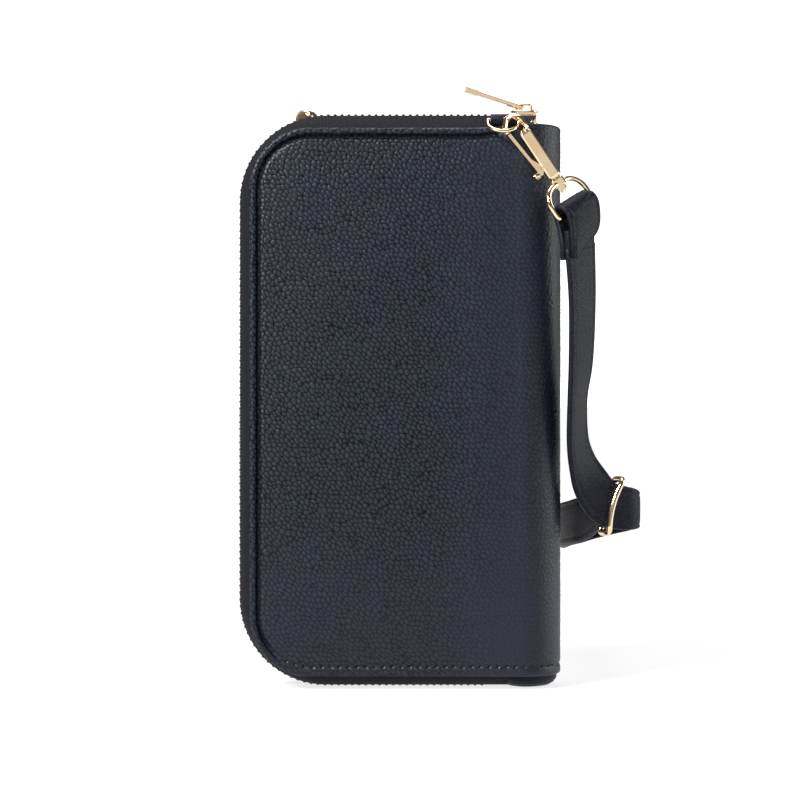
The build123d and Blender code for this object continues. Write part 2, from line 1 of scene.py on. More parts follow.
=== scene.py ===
"""Looks of the wristlet wallet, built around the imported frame. Lengths here are millimetres
until a mesh is made; a mesh is in metres."""
import bpy
import numpy as np
from math import cos, pi, radians, sin
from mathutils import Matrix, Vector


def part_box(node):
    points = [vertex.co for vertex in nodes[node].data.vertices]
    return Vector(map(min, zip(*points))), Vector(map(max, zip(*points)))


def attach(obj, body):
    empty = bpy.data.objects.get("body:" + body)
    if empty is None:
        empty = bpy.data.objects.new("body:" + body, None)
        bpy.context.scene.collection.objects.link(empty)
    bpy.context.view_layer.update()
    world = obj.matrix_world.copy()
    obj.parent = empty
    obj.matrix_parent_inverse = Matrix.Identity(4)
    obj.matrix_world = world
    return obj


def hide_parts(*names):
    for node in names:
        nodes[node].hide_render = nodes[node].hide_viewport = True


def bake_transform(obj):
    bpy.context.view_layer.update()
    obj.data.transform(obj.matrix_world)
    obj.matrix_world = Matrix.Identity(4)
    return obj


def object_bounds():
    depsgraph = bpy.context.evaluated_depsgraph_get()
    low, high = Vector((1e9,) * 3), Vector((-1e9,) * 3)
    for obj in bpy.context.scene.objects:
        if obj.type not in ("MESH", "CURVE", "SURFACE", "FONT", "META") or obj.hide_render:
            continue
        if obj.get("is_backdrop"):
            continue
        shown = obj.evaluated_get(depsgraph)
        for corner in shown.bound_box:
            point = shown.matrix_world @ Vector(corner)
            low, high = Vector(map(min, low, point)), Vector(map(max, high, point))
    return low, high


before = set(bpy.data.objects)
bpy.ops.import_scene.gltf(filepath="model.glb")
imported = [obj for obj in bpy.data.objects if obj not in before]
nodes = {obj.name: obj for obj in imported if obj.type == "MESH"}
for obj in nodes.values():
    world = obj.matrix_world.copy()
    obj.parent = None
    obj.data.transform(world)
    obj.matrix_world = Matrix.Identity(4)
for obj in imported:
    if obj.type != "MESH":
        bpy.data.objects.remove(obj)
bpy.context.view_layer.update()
MM = 0.001
X_AXIS, Y_AXIS, Z_AXIS = np.eye(3)


def new_object(name, data):
    made = bpy.data.objects.new(name, data)
    bpy.context.scene.collection.objects.link(made)
    return made


# ---- camera, at the height of the wallet's middle, level and straight on ----
camera_data = bpy.data.cameras.new("camera")
camera_data.lens = 107.8
camera_data.sensor_width = 36.0
camera_data.clip_start = 0.05
camera = new_object("camera", camera_data)
camera.location = (0.0, -0.8, 0.095)
camera.rotation_euler = (pi / 2, 0, 0)
bpy.context.scene.camera = camera


# ---- materials ----
def new_material(name):
    material = bpy.data.materials.new(name)
    material.use_nodes = True
    tree = material.node_tree
    return material, tree, tree.nodes["Principled BSDF"]


def add_node(tree, kind, inputs=(), **settings):
    made = tree.nodes.new(kind)
    for key, value in settings.items():
        setattr(made, key, value)
    for key, value in dict(inputs).items():
        if isinstance(value, bpy.types.NodeSocket):
            tree.links.new(value, made.inputs[key])
        else:
            made.inputs[key].default_value = value
    return made


def feed(shader, socket, value):
    shader.id_data.links.new(value, shader.inputs[socket])


def blend_colours(tree, factor, first, second):
    mix = add_node(tree, "ShaderNodeMix", data_type="RGBA")
    tree.links.new(factor, mix.inputs[0])
    mix.inputs[6].default_value = (*first, 1)
    mix.inputs[7].default_value = (*second, 1)
    return mix.outputs[2]


def spread(tree, value, low, high, to_low, to_high):
    return add_node(tree, "ShaderNodeMapRange", {
        "Value": value, "From Min": low, "From Max": high, "To Min": to_low, "To Max": to_high,
    }).outputs["Result"]


def noise(tree, coords, scale, detail=3.0):
    sizes = {"Vector": coords, "Scale": scale, "Detail": detail}
    return add_node(tree, "ShaderNodeTexNoise", sizes).outputs["Fac"]


def arithmetic(tree, operation, *values):
    return add_node(tree, "ShaderNodeMath", dict(enumerate(values)), operation=operation).outputs[0]


def object_coords(tree):
    return add_node(tree, "ShaderNodeTexCoord").outputs["Object"]


def colour_by(tree, shader, value, low, high, dark, light):
    """Base colour from dark to light, as the value goes from low to high."""
    feed(shader, "Base Color", blend_colours(tree, spread(tree, value, low, high, 0, 1), dark, light))


def relief(tree, height, depth, strength, **under):
    """Bump with this depth in millimetres, on top of another normal if there is one."""
    return add_node(tree, "ShaderNodeBump", {
        "Height": height, "Distance": depth * MM, "Strength": strength, **under,
    }).outputs["Normal"]


PORE_DEPTH = 0.06
HAIRLINE_DEPTH = 0.012
MOTTLE_DEPTH = 0.02


def leather(name, dark, light, rough, specular, cell=None, depth=0.05):
    """Grained leather, with pores and slow changes of tone, and painted shade that darkens the creases
    between its cells.
    Its cells are about this many mm across; without a size they are the mesh's own relief, and a point
    attribute of the mesh gives their tone and painted shade."""
    material, tree, shader = new_material(name)
    coords = object_coords(tree)
    if cell is None:
        # the mesh's point attribute: each cell's tone, with painted shade in the creases and in the groove
        # beside the rolled edge
        height = add_node(tree, "ShaderNodeAttribute", attribute_name="grain_and_shade").outputs["Fac"]
    else:
        bend = add_node(tree, "ShaderNodeTexNoise", {"Vector": coords, "Scale": 300.0})
        bent = add_node(tree, "ShaderNodeMix", data_type="VECTOR")
        bent.inputs[0].default_value = 0.0012
        tree.links.new(coords, bent.inputs[4])
        tree.links.new(bend.outputs["Color"], bent.inputs[5])
        cells = add_node(tree, "ShaderNodeTexVoronoi", {
            "Vector": bent.outputs[1], "Scale": 1 / (cell * MM),
        }, feature="DISTANCE_TO_EDGE")
        height = spread(tree, cells.outputs["Distance"], 0.0, 0.28, 0.0, 1.0)
    slow = noise(tree, coords, 260.0)
    # painted shade: the base colour darkens into the creases, on top of the slow changes of tone
    tone = arithmetic(tree, "MULTIPLY_ADD", slow, 0.35, height)
    colour_by(tree, shader, tone, 0.1, 1.2, dark, light)
    pores = noise(tree, coords, 4200.0, 2.0)
    rough_mix = arithmetic(tree, "SUBTRACT", pores, height)
    feed(shader, "Roughness", spread(tree, rough_mix, -0.8, 0.8, rough - 0.08, rough + 0.12))
    normal = relief(tree, pores, PORE_DEPTH, 0.6)
    if cell is not None:
        normal = relief(tree, height, depth, 0.9, Normal=normal)
    feed(shader, "Normal", normal)
    least = specular * (0.12 if cell is None else 0.75)
    feed(shader, "Specular IOR Level", spread(tree, height, 0.05, 0.75, least, specular))
    return material


def cloth(name, dark, light, pitch, depth, rough=0.85, diagonal=False):
    """Woven cloth with crossing threads this many mm apart."""
    material, tree, shader = new_material(name)
    coords = object_coords(tree)
    scale = 1 / (pitch * MM) / 2
    turned = add_node(tree, "ShaderNodeMapping", {"Vector": coords})
    if diagonal:
        turned.inputs["Rotation"].default_value = (0.0, radians(45), radians(20))
    warp, weft = [add_node(tree, "ShaderNodeTexWave", {
        "Vector": turned.outputs[0], "Scale": scale, "Distortion": 0.6, "Detail": 1.0,
    }, bands_direction=direction).outputs["Fac"] for direction in "XZ"]
    weave = arithmetic(tree, "MULTIPLY", warp, weft)
    fluff = noise(tree, coords, 900.0)
    tone = arithmetic(tree, "ADD", weave, fluff)
    colour_by(tree, shader, tone, 0.3, 1.4, dark, light)
    feed(shader, "Roughness", spread(tree, fluff, 0.2, 0.8, rough - 0.1, rough + 0.1))
    feed(shader, "Normal", relief(tree, tone, depth, 0.8))
    shader.inputs["Specular IOR Level"].default_value = 0.15
    return material


def metal(name, colour, worn, rough):
    """Polished metal with faint cloudiness and hairline scratches."""
    material, tree, shader = new_material(name)
    coords = object_coords(tree)
    clouds = noise(tree, coords, 180.0)
    stretched = add_node(tree, "ShaderNodeMapping", {"Vector": coords})
    stretched.inputs["Scale"].default_value = (6000.0, 700.0, 700.0)
    hairs = noise(tree, stretched.outputs[0], 1.0, 4.0)
    colour_by(tree, shader, clouds, 0.35, 0.7, colour, worn)
    mixed = arithmetic(tree, "MULTIPLY", clouds, hairs)
    feed(shader, "Roughness", spread(tree, mixed, 0.1, 0.5, rough * 0.7, rough * 1.4))
    feed(shader, "Normal", relief(tree, hairs, HAIRLINE_DEPTH, 0.35))
    shader.inputs["Metallic"].default_value = 1.0
    return material


def plain(name, dark, light, scale, rough):
    """Felted, pressed or moulded matter: mottled, with a fine uneven surface."""
    material, tree, shader = new_material(name)
    coords = object_coords(tree)
    mottle = noise(tree, coords, scale, 5.0)
    colour_by(tree, shader, mottle, 0.3, 0.7, dark, light)
    feed(shader, "Roughness", spread(tree, mottle, 0.2, 0.8, rough - 0.08, rough + 0.08))
    feed(shader, "Normal", relief(tree, mottle, MOTTLE_DEPTH, 0.6))
    return material


NAVY_DARK = (0.0010, 0.0014, 0.0030)
NAVY_LIGHT = (0.0085, 0.0110, 0.0200)
STRAP_DARK = (0.0014, 0.0019, 0.0042)
STRAP_LIGHT = (0.0060, 0.0080, 0.0155)
shell_leather = leather("pebbled_leather", NAVY_DARK, NAVY_LIGHT, 0.43, 0.31)
smooth_leather = leather("strap_leather", STRAP_DARK, STRAP_LIGHT, 0.45, 0.17, 0.8)
inner_leather = leather("inner_leather", (0.010, 0.013, 0.024), (0.030, 0.036, 0.060), 0.52, 0.35, 0.9)
lining_cloth = cloth("lining_cloth", (0.020, 0.024, 0.050), (0.055, 0.062, 0.110), 0.45, 0.06)
tape_cloth = cloth("tape_cloth", (0.001, 0.001, 0.002), (0.008, 0.0078, 0.014), 1.1, 0.30, 0.75, True)
gold = metal("gold_metal", (0.90, 0.72, 0.50), (0.86, 0.64, 0.38), 0.12)
dark_teeth = metal("dark_zip_metal", (0.030, 0.028, 0.028), (0.16, 0.115, 0.05), 0.30)
steel = metal("spring_steel", (0.62, 0.62, 0.64), (0.5, 0.5, 0.52), 0.22)
foam = plain("padding_foam", (0.62, 0.62, 0.60), (0.80, 0.80, 0.78), 1500.0, 0.9)
board = plain("stiffener", (0.38, 0.35, 0.30), (0.52, 0.49, 0.43), 900.0, 0.85)
coil = plain("coin_zip_plastic", (0.008, 0.009, 0.016), (0.02, 0.022, 0.034), 1200.0, 0.42)
thread = plain("navy_thread", (0.0016, 0.0021, 0.0052), (0.0050, 0.0068, 0.0145), 2500.0, 0.82)


# ---- mesh helpers ----
def make_piece(name, points, faces, material, body, smooth=True, grain_and_shade=None):
    """Mesh piece from points in millimetres, riding on a body, with the material in its slot."""
    mesh = bpy.data.meshes.new(name)
    mesh.from_pydata((np.asarray(points, float) * MM).tolist(), [], [list(map(int, f)) for f in faces])
    mesh.update()
    if smooth:
        mesh.polygons.foreach_set("use_smooth", np.ones(len(mesh.polygons), bool))
    # point attribute of tone; on the outer leather it holds painted shade in the creases and the groove
    if grain_and_shade is not None:
        attribute = mesh.attributes.new("grain_and_shade", "FLOAT", "POINT")
        attribute.data.foreach_set("value", np.asarray(grain_and_shade, np.float32))
    made = new_object(name, mesh)
    mesh.materials.append(material)
    if body:
        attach(made, body)
    return made


def grid_faces(rows, columns, start=0, closed_rows=False, closed_columns=False):
    row_count = rows if closed_rows else rows - 1
    column_count = columns if closed_columns else columns - 1
    i, j = np.meshgrid(np.arange(row_count), np.arange(column_count), indexing="ij")
    i2, j2 = (i + 1) % rows, (j + 1) % columns
    faces = np.stack([i * columns + j, i * columns + j2, i2 * columns + j2, i2 * columns + j], -1)
    return start + faces.reshape(-1, 4)


def solid_faces(rings, sides, start=0):
    """Faces of a solid made of rings joined one to the next, with both ends closed."""
    end = start + rings * sides
    faces = [tuple(f) for f in grid_faces(rings, sides, start, False, True)]
    return faces + [tuple(range(start, start + sides))[::-1], tuple(range(end - sides, end))]


def grid_rim(rows, columns):
    """Numbers of a grid's outermost points, in order round it."""
    return np.concatenate([
        np.arange(columns), np.arange(1, rows) * columns + columns - 1,
        (rows - 1) * columns + np.arange(columns - 2, -1, -1), np.arange(rows - 2, 0, -1) * columns,
    ])


def corner_cut(near, radius):
    """How far a rounded corner cuts in, at this distance from the end."""
    curve = np.sqrt(np.maximum(radius ** 2 - (radius - near) ** 2, 0))
    return np.where(near < radius, radius - curve, 0)


def unit(v):
    v = np.asarray(v, float)
    return v / np.maximum(np.linalg.norm(v, axis=-1, keepdims=True), 1e-9)


def smooth_step(value, low, high):
    t = np.clip((value - low) / (high - low), 0, 1)
    return t * t * (3 - 2 * t)


def smooth_curve(points, steps):
    """Smooth curve through these points (Catmull-Rom), with this many steps to each."""
    points = np.asarray(points, float)
    padded = np.vstack([2 * points[0] - points[1], points, 2 * points[-1] - points[-2]])
    made = []
    for n in range(len(points) - 1):
        a, b, c, d = padded[n:n + 4]
        for t in np.arange(steps) / steps:
            made.append(0.5 * (2 * b + (c - a) * t + (2 * a - 5 * b + 4 * c - d) * t ** 2
                               + (3 * b - a - 3 * c + d) * t ** 3))
    made.append(points[-1])
    return np.array(made)


def tangents(path, closed=False):
    if closed:
        return unit(np.roll(path, -1, 0) - np.roll(path, 1, 0))
    return unit(np.gradient(path, axis=0))


def tube(name, path, radius, body, closed=False, sides=20):
    """Round gold wire along a path, with rounded ends unless it is closed."""
    path = np.asarray(path, float)
    along = tangents(path, closed)
    normal = unit(np.cross(along[0], Z_AXIS if abs(along[0][2]) < 0.9 else X_AXIS))
    turn = np.arange(sides) * 2 * pi / sides
    rings = []
    ends = [] if closed else [(-1.0, 0.02), (-0.85, 0.5), (-0.5, 0.85)]
    normals = []
    for direction in along:
        normal = unit(normal - direction * np.dot(normal, direction))
        normals.append(normal)
    if closed:
        # spread the leftover twist, so that the last ring meets the first
        last = unit(normals[-1] - along[0] * np.dot(normals[-1], along[0]))
        other = np.cross(along[0], normals[0])
        twist = np.arctan2(np.dot(last, other), np.dot(last, normals[0]))
    else:
        twist = 0.0
    for number, (centre, direction, normal) in enumerate(zip(path, along, normals)):
        angle = turn - twist * number / len(path)
        side = np.cross(direction, normal)
        ring = np.cos(angle)[:, None] * normal + np.sin(angle)[:, None] * side
        if not closed and number == 0:
            rings += [centre + direction * radius * back + ring * radius * size for back, size in ends]
        rings.append(centre + ring * radius)
        if not closed and number == len(path) - 1:
            rings += [centre - direction * radius * back + ring * radius * size
                      for back, size in ends[::-1]]
    faces = grid_faces(len(rings), sides, 0, True, True) if closed else solid_faces(len(rings), sides)
    return make_piece(name, np.concatenate(rings), faces, gold, body)


def rounded_path(corners, radii, steps):
    """Closed flat outline with rounded corners, as (x, y) points."""
    corners = [np.array(c, float) for c in corners]
    made = []
    for n, (corner, radius) in enumerate(zip(corners, radii)):
        before = unit(corners[n - 1] - corner)
        after = unit(corners[(n + 1) % len(corners)] - corner)
        half = np.arccos(np.clip(np.dot(before, after), -1, 1)) / 2
        centre = corner + unit(before + after) * radius / np.sin(half)
        first = corner + before * radius / np.tan(half) - centre
        last = corner + after * radius / np.tan(half) - centre
        for t in np.linspace(0, 1, steps):
            made.append(centre + unit(first * (1 - t) + last * t) * radius)
    return np.array(made)


def oblong(low_x, high_x, half, radii, steps, middle=0.0):
    """Rounded outline from low_x to high_x, and half to each side of its middle in y."""
    low_y, high_y = middle - half, middle + half
    corners = [(low_x, low_y), (high_x, low_y), (high_x, high_y), (low_x, high_y)]
    return rounded_path(corners, radii, steps)


def in_plane(outline, origin, first, second, pitch):
    """Closed path in space from an outline, whose two numbers go along first and second."""
    return even_path(origin + outline[:, :1] * first + outline[:, 1:] * second, pitch, True)


def even_path(path, pitch, closed=False):
    """The same path with points about this far apart."""
    path = np.asarray(path, float)
    if closed:
        path = np.vstack([path, path[:1]])
    lengths = np.concatenate([[0], np.cumsum(np.linalg.norm(np.diff(path, axis=0), axis=1))])
    count = max(2, int(round(lengths[-1] / pitch)) + (0 if closed else 1))
    stops = np.linspace(0, lengths[-1], count, endpoint=not closed)
    return np.stack([np.interp(stops, lengths, path[:, k]) for k in range(3)], 1)


def stitches(name, lines, body, pitch, length, radius):
    """Rows of thread stitches lying along lines, each line a path of points on the surface."""
    ring_at = [(-0.5, 0.15), (-0.46, 0.7), (-0.3, 1.0), (0.3, 1.0), (0.46, 0.7), (0.5, 0.15)]
    turn = np.arange(6) * pi / 3
    points, faces = [], []
    for line in lines:
        path = even_path(line, pitch)
        middles = (path[1:] + path[:-1]) / 2
        along = unit(path[1:] - path[:-1])
        for middle, direction in zip(middles, along):
            a = unit(np.cross(direction, [0.3, 0.9, 0.2]))
            b = np.cross(direction, a)
            start = len(points)
            for place, size in ring_at:
                ring = np.cos(turn)[:, None] * a + np.sin(turn)[:, None] * b
                points.extend(middle + direction * length * place + ring * radius * size)
            faces += solid_faces(len(ring_at), len(turn), start)
    return make_piece(name, points, faces, thread, body)


# ---- the wallet's outlines, as the frame has them ----
HALF = 14.0
SPINE_X = 39.5
LEFT, BOTTOM, TOP, RADIUS = -49.5, 4.1, 184.5, 20.0
CHAIN_LEFT, CHAIN_TOP, CHAIN_RADIUS = -53.5, 190.0, 29.0
RUN = SPINE_X - LEFT
ARC = pi * HALF
COVERS = ((-1, "back", "wallet_back"), (1, "front", "front_cover"))
WIDTH = 2 * RUN + ARC


def fine_steps(total, fine, zone, coarse):
    """Positions from 0 to total, fine near both ends."""
    edge = np.arange(0, zone, fine)
    count = int(round((total - 2 * zone) / coarse))
    return np.concatenate([edge, np.linspace(zone, total - zone, count + 1), total - edge[::-1]])


def wrap(u, z, height):
    """Point on the wallet's outer surface: u runs from the back cover's free edge, round the
    spine, to the front cover's; height is out from the surface."""
    turn = np.clip((u - RUN) / HALF, 0, pi)
    x = np.where(u < RUN, LEFT + u, np.where(u > RUN + ARC, LEFT + WIDTH - u, SPINE_X))
    x = x + np.sin(turn) * (HALF + height)
    y = -np.cos(turn) * (HALF + height)
    return np.stack([x, y, z], -1)


def cell_pattern(u, z, pitch, seed, stretch=1.0):
    """Leather cells: 0 in the creases between cells, 1 on top of them, and each cell's own number. It gives
    the relief, and the painted shade in the creases.
    """
    random = np.random.default_rng(seed)
    across = int(np.max(u) / pitch) + 6
    up = int(np.max(z) / pitch / 0.87) + 6
    shift = random.uniform(-0.35, 0.35, (across, up, 2))
    tone = random.uniform(0, 1, (across, up))
    cu, cz = u / pitch + 2, z / pitch / 0.87 + 2
    iu, iz = np.floor(cu).astype(int), np.floor(cz).astype(int)
    near = np.full(u.shape, 1e9)
    second = np.full(u.shape, 1e9)
    owner = np.zeros(u.shape)
    for du in (-2, -1, 0, 1, 2):
        for dz in (-2, -1, 0, 1, 2):
            a = np.clip(iu + du, 0, across - 1)
            b = np.clip(iz + dz, 0, up - 1)
            far = np.hypot((a + 0.5 + shift[a, b, 0] + 0.5 * (b % 2) - cu) * stretch,
                           (b + 0.5 + shift[a, b, 1] - cz) * 0.87)
            closer = far < near
            second = np.where(closer, near, np.minimum(second, far))
            owner = np.where(closer, tone[a, b], owner)
            near = np.where(closer, far, near)
    return smooth_step(second - near, -0.04, 0.50), owner


def slow_waves(u, z, seed, size):
    """Gentle unevenness of a soft surface, about -1 to 1."""
    random = np.random.default_rng(seed)
    total = np.zeros(u.shape)
    for _ in range(7):
        direction = random.uniform(0, pi)
        wave = size * random.uniform(0.7, 1.8)
        phase = random.uniform(0, 2 * pi)
        total = total + np.sin((u * cos(direction) + z * sin(direction)) * 2 * pi / wave + phase)
    return total / 4


# ---- outer leather: one skin from the back cover round the spine to the front cover ----
GRAIN = 1.75
PITCH = 0.36
FINE = 0.24
ROLL = 2.35               # width of the rolled edge
GROOVE = 0.75             # width of the groove beside it
STITCH_ROW = 3.4          # up from the bottom edge
STITCH_PITCH = 2.9
GROOVE_DEPTH = 1.2
EDGE_ROUND = 1.1          # rounding of the turned edge where there is no roll
SWELL = 0.95              # how far the padding lifts each cover's middle
GRAIN_DEPTH = 0.25
GRAIN_SLANT = 0.30


def edge_distances(u, height):
    """Distances to the free edge, the nearest of left, top and bottom, and how far each point
    belongs to the bottom edge. height is from the bottom edge."""
    tall = TOP - BOTTOM
    x = np.minimum(u, WIDTH - u)
    from_top = tall - height
    from_end = np.minimum(height, from_top)
    corner = (x < RADIUS) & (from_end < RADIUS)
    round_off = RADIUS - np.hypot(RADIUS - x, RADIUS - from_end)
    distance = np.where(corner, round_off, np.minimum(x, from_end))
    turn = np.arctan2(np.maximum(RADIUS - from_end, 0), np.maximum(RADIUS - x, 1e-6)) / (pi / 2)
    bottom = np.where(x < RADIUS, turn, 1.0) * (from_end < RADIUS) * (height < from_top)
    return x, distance, smooth_step(bottom, 0.30, 0.72)


def surface_height(u, height, z):
    """How far the leather stands out from the flat surface, and its colour tone: each cell's own tone, with
    painted shade in the creases and in the groove beside the rolled edge.
    """
    x, distance, bottom = edge_distances(u, height)
    along_x = LEFT + x
    fade = smooth_step(along_x, 29, 37) * (height > 90)
    rolled = (1 - bottom) * (1 - fade)
    half = ROLL / 2
    roll = np.sqrt(np.maximum(half ** 2 - (distance - half) ** 2, 0)) - half + 0.22
    past = np.maximum(distance - ROLL - GROOVE, 0)
    panel = -GROOVE_DEPTH * np.exp(-(past / 0.62) ** 1.3)
    with_roll = np.where(distance < ROLL, roll, np.where(distance < ROLL + GROOVE, -GROOVE_DEPTH, panel))
    inward = np.clip(EDGE_ROUND - distance, 0, EDGE_ROUND)
    turned = np.sqrt(np.maximum(EDGE_ROUND ** 2 - inward ** 2, 0)) - EDGE_ROUND
    valley = -0.30 * np.exp(-((distance - STITCH_ROW) / 0.75) ** 2) * (distance < 8)
    hole = np.cos((u - 0.5) * 2 * pi / STITCH_PITCH)
    pricked = -0.55 * smooth_step(hole, 0.70, 1.0) * np.exp(-((distance - STITCH_ROW) / 0.42) ** 2)
    flat = turned + (valley + pricked) * bottom
    out = with_roll * rolled + flat * (1 - rolled)
    cover = smooth_step(SPINE_X - along_x, -2, 16)
    out = out + SWELL * (1 - np.exp(-(np.maximum(distance - 3, 0) / 13) ** 1.5)) * cover
    out = out + 0.10 * slow_waves(u, z, 5, 34) * smooth_step(distance, 2, 12)
    slanted = u + GRAIN_SLANT * z + 0.5 * slow_waves(u, z, 8, 9)
    raised = z + 0.5 * slow_waves(z, u, 9, 11)
    grain_and_shade, tone = cell_pattern(slanted, raised, GRAIN, 11, 1.15)
    groove = np.exp(-((distance - ROLL - GROOVE / 2) / 0.6) ** 2) * rolled
    strength = GRAIN_DEPTH * (0.65 + 0.5 * tone) * (1 - 0.85 * groove)
    strength = strength * (1 - 0.35 * smooth_step(along_x, 10, 45))
    strength = strength * (1 - 0.35 * smooth_step(-height, -45, -5))
    strength = strength * smooth_step(distance, -0.2, 0.7)
    # painted shade: the tone darkens into the creases, less so towards the spine and the bottom, and
    # darkens much more in the groove beside the rolled edge
    quiet = 0.45 * smooth_step(along_x, 5, 45) + 0.30 * smooth_step(-height, -70, -5)
    shade = 1 - (1 - grain_and_shade) * (1 - np.clip(quiet, 0, 0.7))
    dome = np.sqrt(grain_and_shade) * (0.88 + 0.24 * tone)
    return out + strength * (dome - 0.6), shade * (1 - 0.8 * groove) * (0.90 + 0.12 * tone)


up_steps = fine_steps(TOP - BOTTOM, FINE, 5.5, PITCH)
across_steps = fine_steps(WIDTH, FINE, 5.5, PITCH) / WIDTH
from_end = np.minimum(up_steps, TOP - BOTTOM - up_steps)
inset = corner_cut(from_end, RADIUS)
u_grid = inset[:, None] + across_steps[None, :] * (WIDTH - 2 * inset[:, None])
h_grid = np.repeat(up_steps[:, None], len(across_steps), 1)


def true_z(u, height):
    """The spine is a little taller than the covers at its top and a little shorter below."""
    x = np.minimum(u, WIDTH - u)
    spine = smooth_step(LEFT + x, 24, 41)
    share = height / (TOP - BOTTOM)
    low = BOTTOM - 0.1 * spine
    high = TOP + 1.5 * spine
    return low + share * (high - low)


z_grid = true_z(u_grid, h_grid)
# the second grid is the colour tone, with painted shade in the creases and the groove
out_grid, grain_and_shade_grid = surface_height(u_grid, h_grid, z_grid)
rows, columns = u_grid.shape
skin_points = wrap(u_grid, z_grid, out_grid).reshape(-1, 3)
skin_faces = grid_faces(rows, columns)[:, ::-1]
# the turned-in lip all the way round
loop = grid_rim(rows, columns)
loop_u, loop_h = u_grid.ravel()[loop], h_grid.ravel()[loop]
loop_x = np.minimum(loop_u, WIDTH - loop_u)
inner_x = np.maximum(RADIUS, loop_x)
inner_h = np.clip(loop_h, RADIUS, TOP - BOTTOM - RADIUS)
inward_u = (inner_x - loop_x) * np.where(loop_u > WIDTH / 2, -1, 1)
to_inner = unit(np.stack([inward_u, inner_h - loop_h], -1) + 1e-9)
ring_start = loop
all_points, all_faces, all_grain_and_shade = [skin_points], [skin_faces], [grain_and_shade_grid.ravel()]
count = len(skin_points)
first_out = out_grid.ravel()[loop]
for drop, pull in ((0.35, 0.05), (0.8, 0.25), (1.15, 0.7), (1.35, 1.5), (1.45, 2.6)):
    ring_u = loop_u + to_inner[:, 0] * pull
    ring_h = loop_h + to_inner[:, 1] * pull
    ring = wrap(ring_u, true_z(ring_u, ring_h), first_out - drop)
    index = count + np.arange(len(loop))
    strip = np.stack([ring_start, np.roll(ring_start, -1), np.roll(index, -1), index], -1)
    all_faces.append(strip[:, ::-1])
    all_points.append(ring)
    all_grain_and_shade.append(np.full(len(loop), 0.5))
    ring_start = index
    count += len(loop)
shell = make_piece("outer_leather", np.concatenate(all_points), np.concatenate(all_faces), shell_leather,
                   None, grain_and_shade=np.concatenate(all_grain_and_shade))
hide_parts("back_skin", "spine_skin", "front_skin", "back_rolled_edge", "front_rolled_edge")
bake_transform(shell)

# the bottom seam's thread, between its pricked holes
for side, name, body in COVERS:
    seam_u = np.arange(11.0, RUN + 14.0 if side < 0 else RUN - 2, STITCH_PITCH / 8)
    if side > 0:
        seam_u = WIDTH - seam_u
    x = np.minimum(seam_u, WIDTH - seam_u)
    bend = np.sqrt(np.maximum((RADIUS - STITCH_ROW) ** 2 - (RADIUS - x) ** 2, 0))
    rise = np.where(x < RADIUS, RADIUS - bend, STITCH_ROW)
    keep = rise < RADIUS
    seam_u, rise = seam_u[keep], rise[keep]
    line = wrap(seam_u, true_z(seam_u, rise), np.full(seam_u.shape, -0.22))
    groups = np.floor((seam_u - 0.5) / STITCH_PITCH).astype(int)
    dashes = [line[groups == g] for g in np.unique(groups) if np.sum(groups == g) > 6]
    stitches(f"{name}_seam_thread", [d[[0, -1]] for d in dashes], body, 50, 1.75, 0.26)


# ---- zip gussets and tape: from under each cover's edge out to the teeth ----
def run_points(step, right, chain):
    """(x, z, outward x, outward z) along the covers' edge, or along the zip's outer line,
    paired point for point, from the spine over the top, down the long side and back."""
    radius = CHAIN_RADIUS if chain else RADIUS
    left, top, bottom = (CHAIN_LEFT, CHAIN_TOP, 0.0) if chain else (LEFT, TOP, BOTTOM)
    straight = np.linspace(0, 1, int(70 / step))
    bend = np.linspace(0, pi / 2, int(44 / step))[1:]
    side = np.linspace(0, 1, int(130 / step))[1:]
    turn_x, low_z, high_z = left + radius, bottom + radius, top - radius
    made = [(right + (turn_x - right) * t, top, 0, 1) for t in straight]
    made += [(turn_x - radius * sin(a), high_z + radius * cos(a), -sin(a), cos(a)) for a in bend]
    made += [(left, high_z + (low_z - high_z) * t, -1, 0) for t in side]
    made += [(turn_x - radius * cos(a), low_z - radius * sin(a), -cos(a), -sin(a)) for a in bend]
    made += [(turn_x + (right - turn_x) * t, bottom, 0, -1) for t in straight[1:]]
    return np.array(made)


CHAIN_RIGHT = 38.6        # where the teeth and the front cover's gusset end
GUSSET_REACH = 45.6       # the back cover's gusset runs on to here
for side, name, body in COVERS:
    right = GUSSET_REACH if side < 0 else CHAIN_RIGHT
    edge = run_points(1.6, min(right, SPINE_X), False)
    chain = run_points(1.6, right, True)
    profile = []
    for t in np.linspace(0, 1, 14):
        out = np.sin(t * pi / 2) ** 0.85
        depth = 12.3 - 9.6 * (1 - np.cos(t * pi / 2)) ** 0.62
        profile.append((out, depth))
    profile += [(0.955, 2.55), (0.80, 3.2), (0.75, 6.0), (0.45, 9.5), (-0.1, 11.0), (-0.35, 11.9)]
    sections = []
    for out, depth in profile:
        place = edge[:, :2] - edge[:, 2:] * 1.3
        target = chain[:, :2] - chain[:, 2:] * 0.35
        xz = place + (target - place) * out
        sections.append(np.stack([xz[:, 0], np.full(len(xz), side * depth), xz[:, 1]], -1))
    gusset = np.stack(sections, 1)
    wobble = 0.12 * slow_waves(gusset[:, :, 0] + gusset[:, :, 1], gusset[:, :, 2], 3, 16)
    gusset[:, :, 1] += wobble * (side * gusset[:, :, 1] > 4) * (side * gusset[:, :, 1] < 11)
    faces = [tuple(f) for f in grid_faces(len(edge), len(profile), 0, False, True)]
    last = (len(edge) - 1) * len(profile)
    faces += [tuple(range(len(profile))), tuple(range(last, last + len(profile)))[::-1]]
    made = make_piece(f"{name}_zip_gusset", gusset.reshape(-1, 3), faces, tape_cloth, body)
    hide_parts(f"{name}_zip_tape")

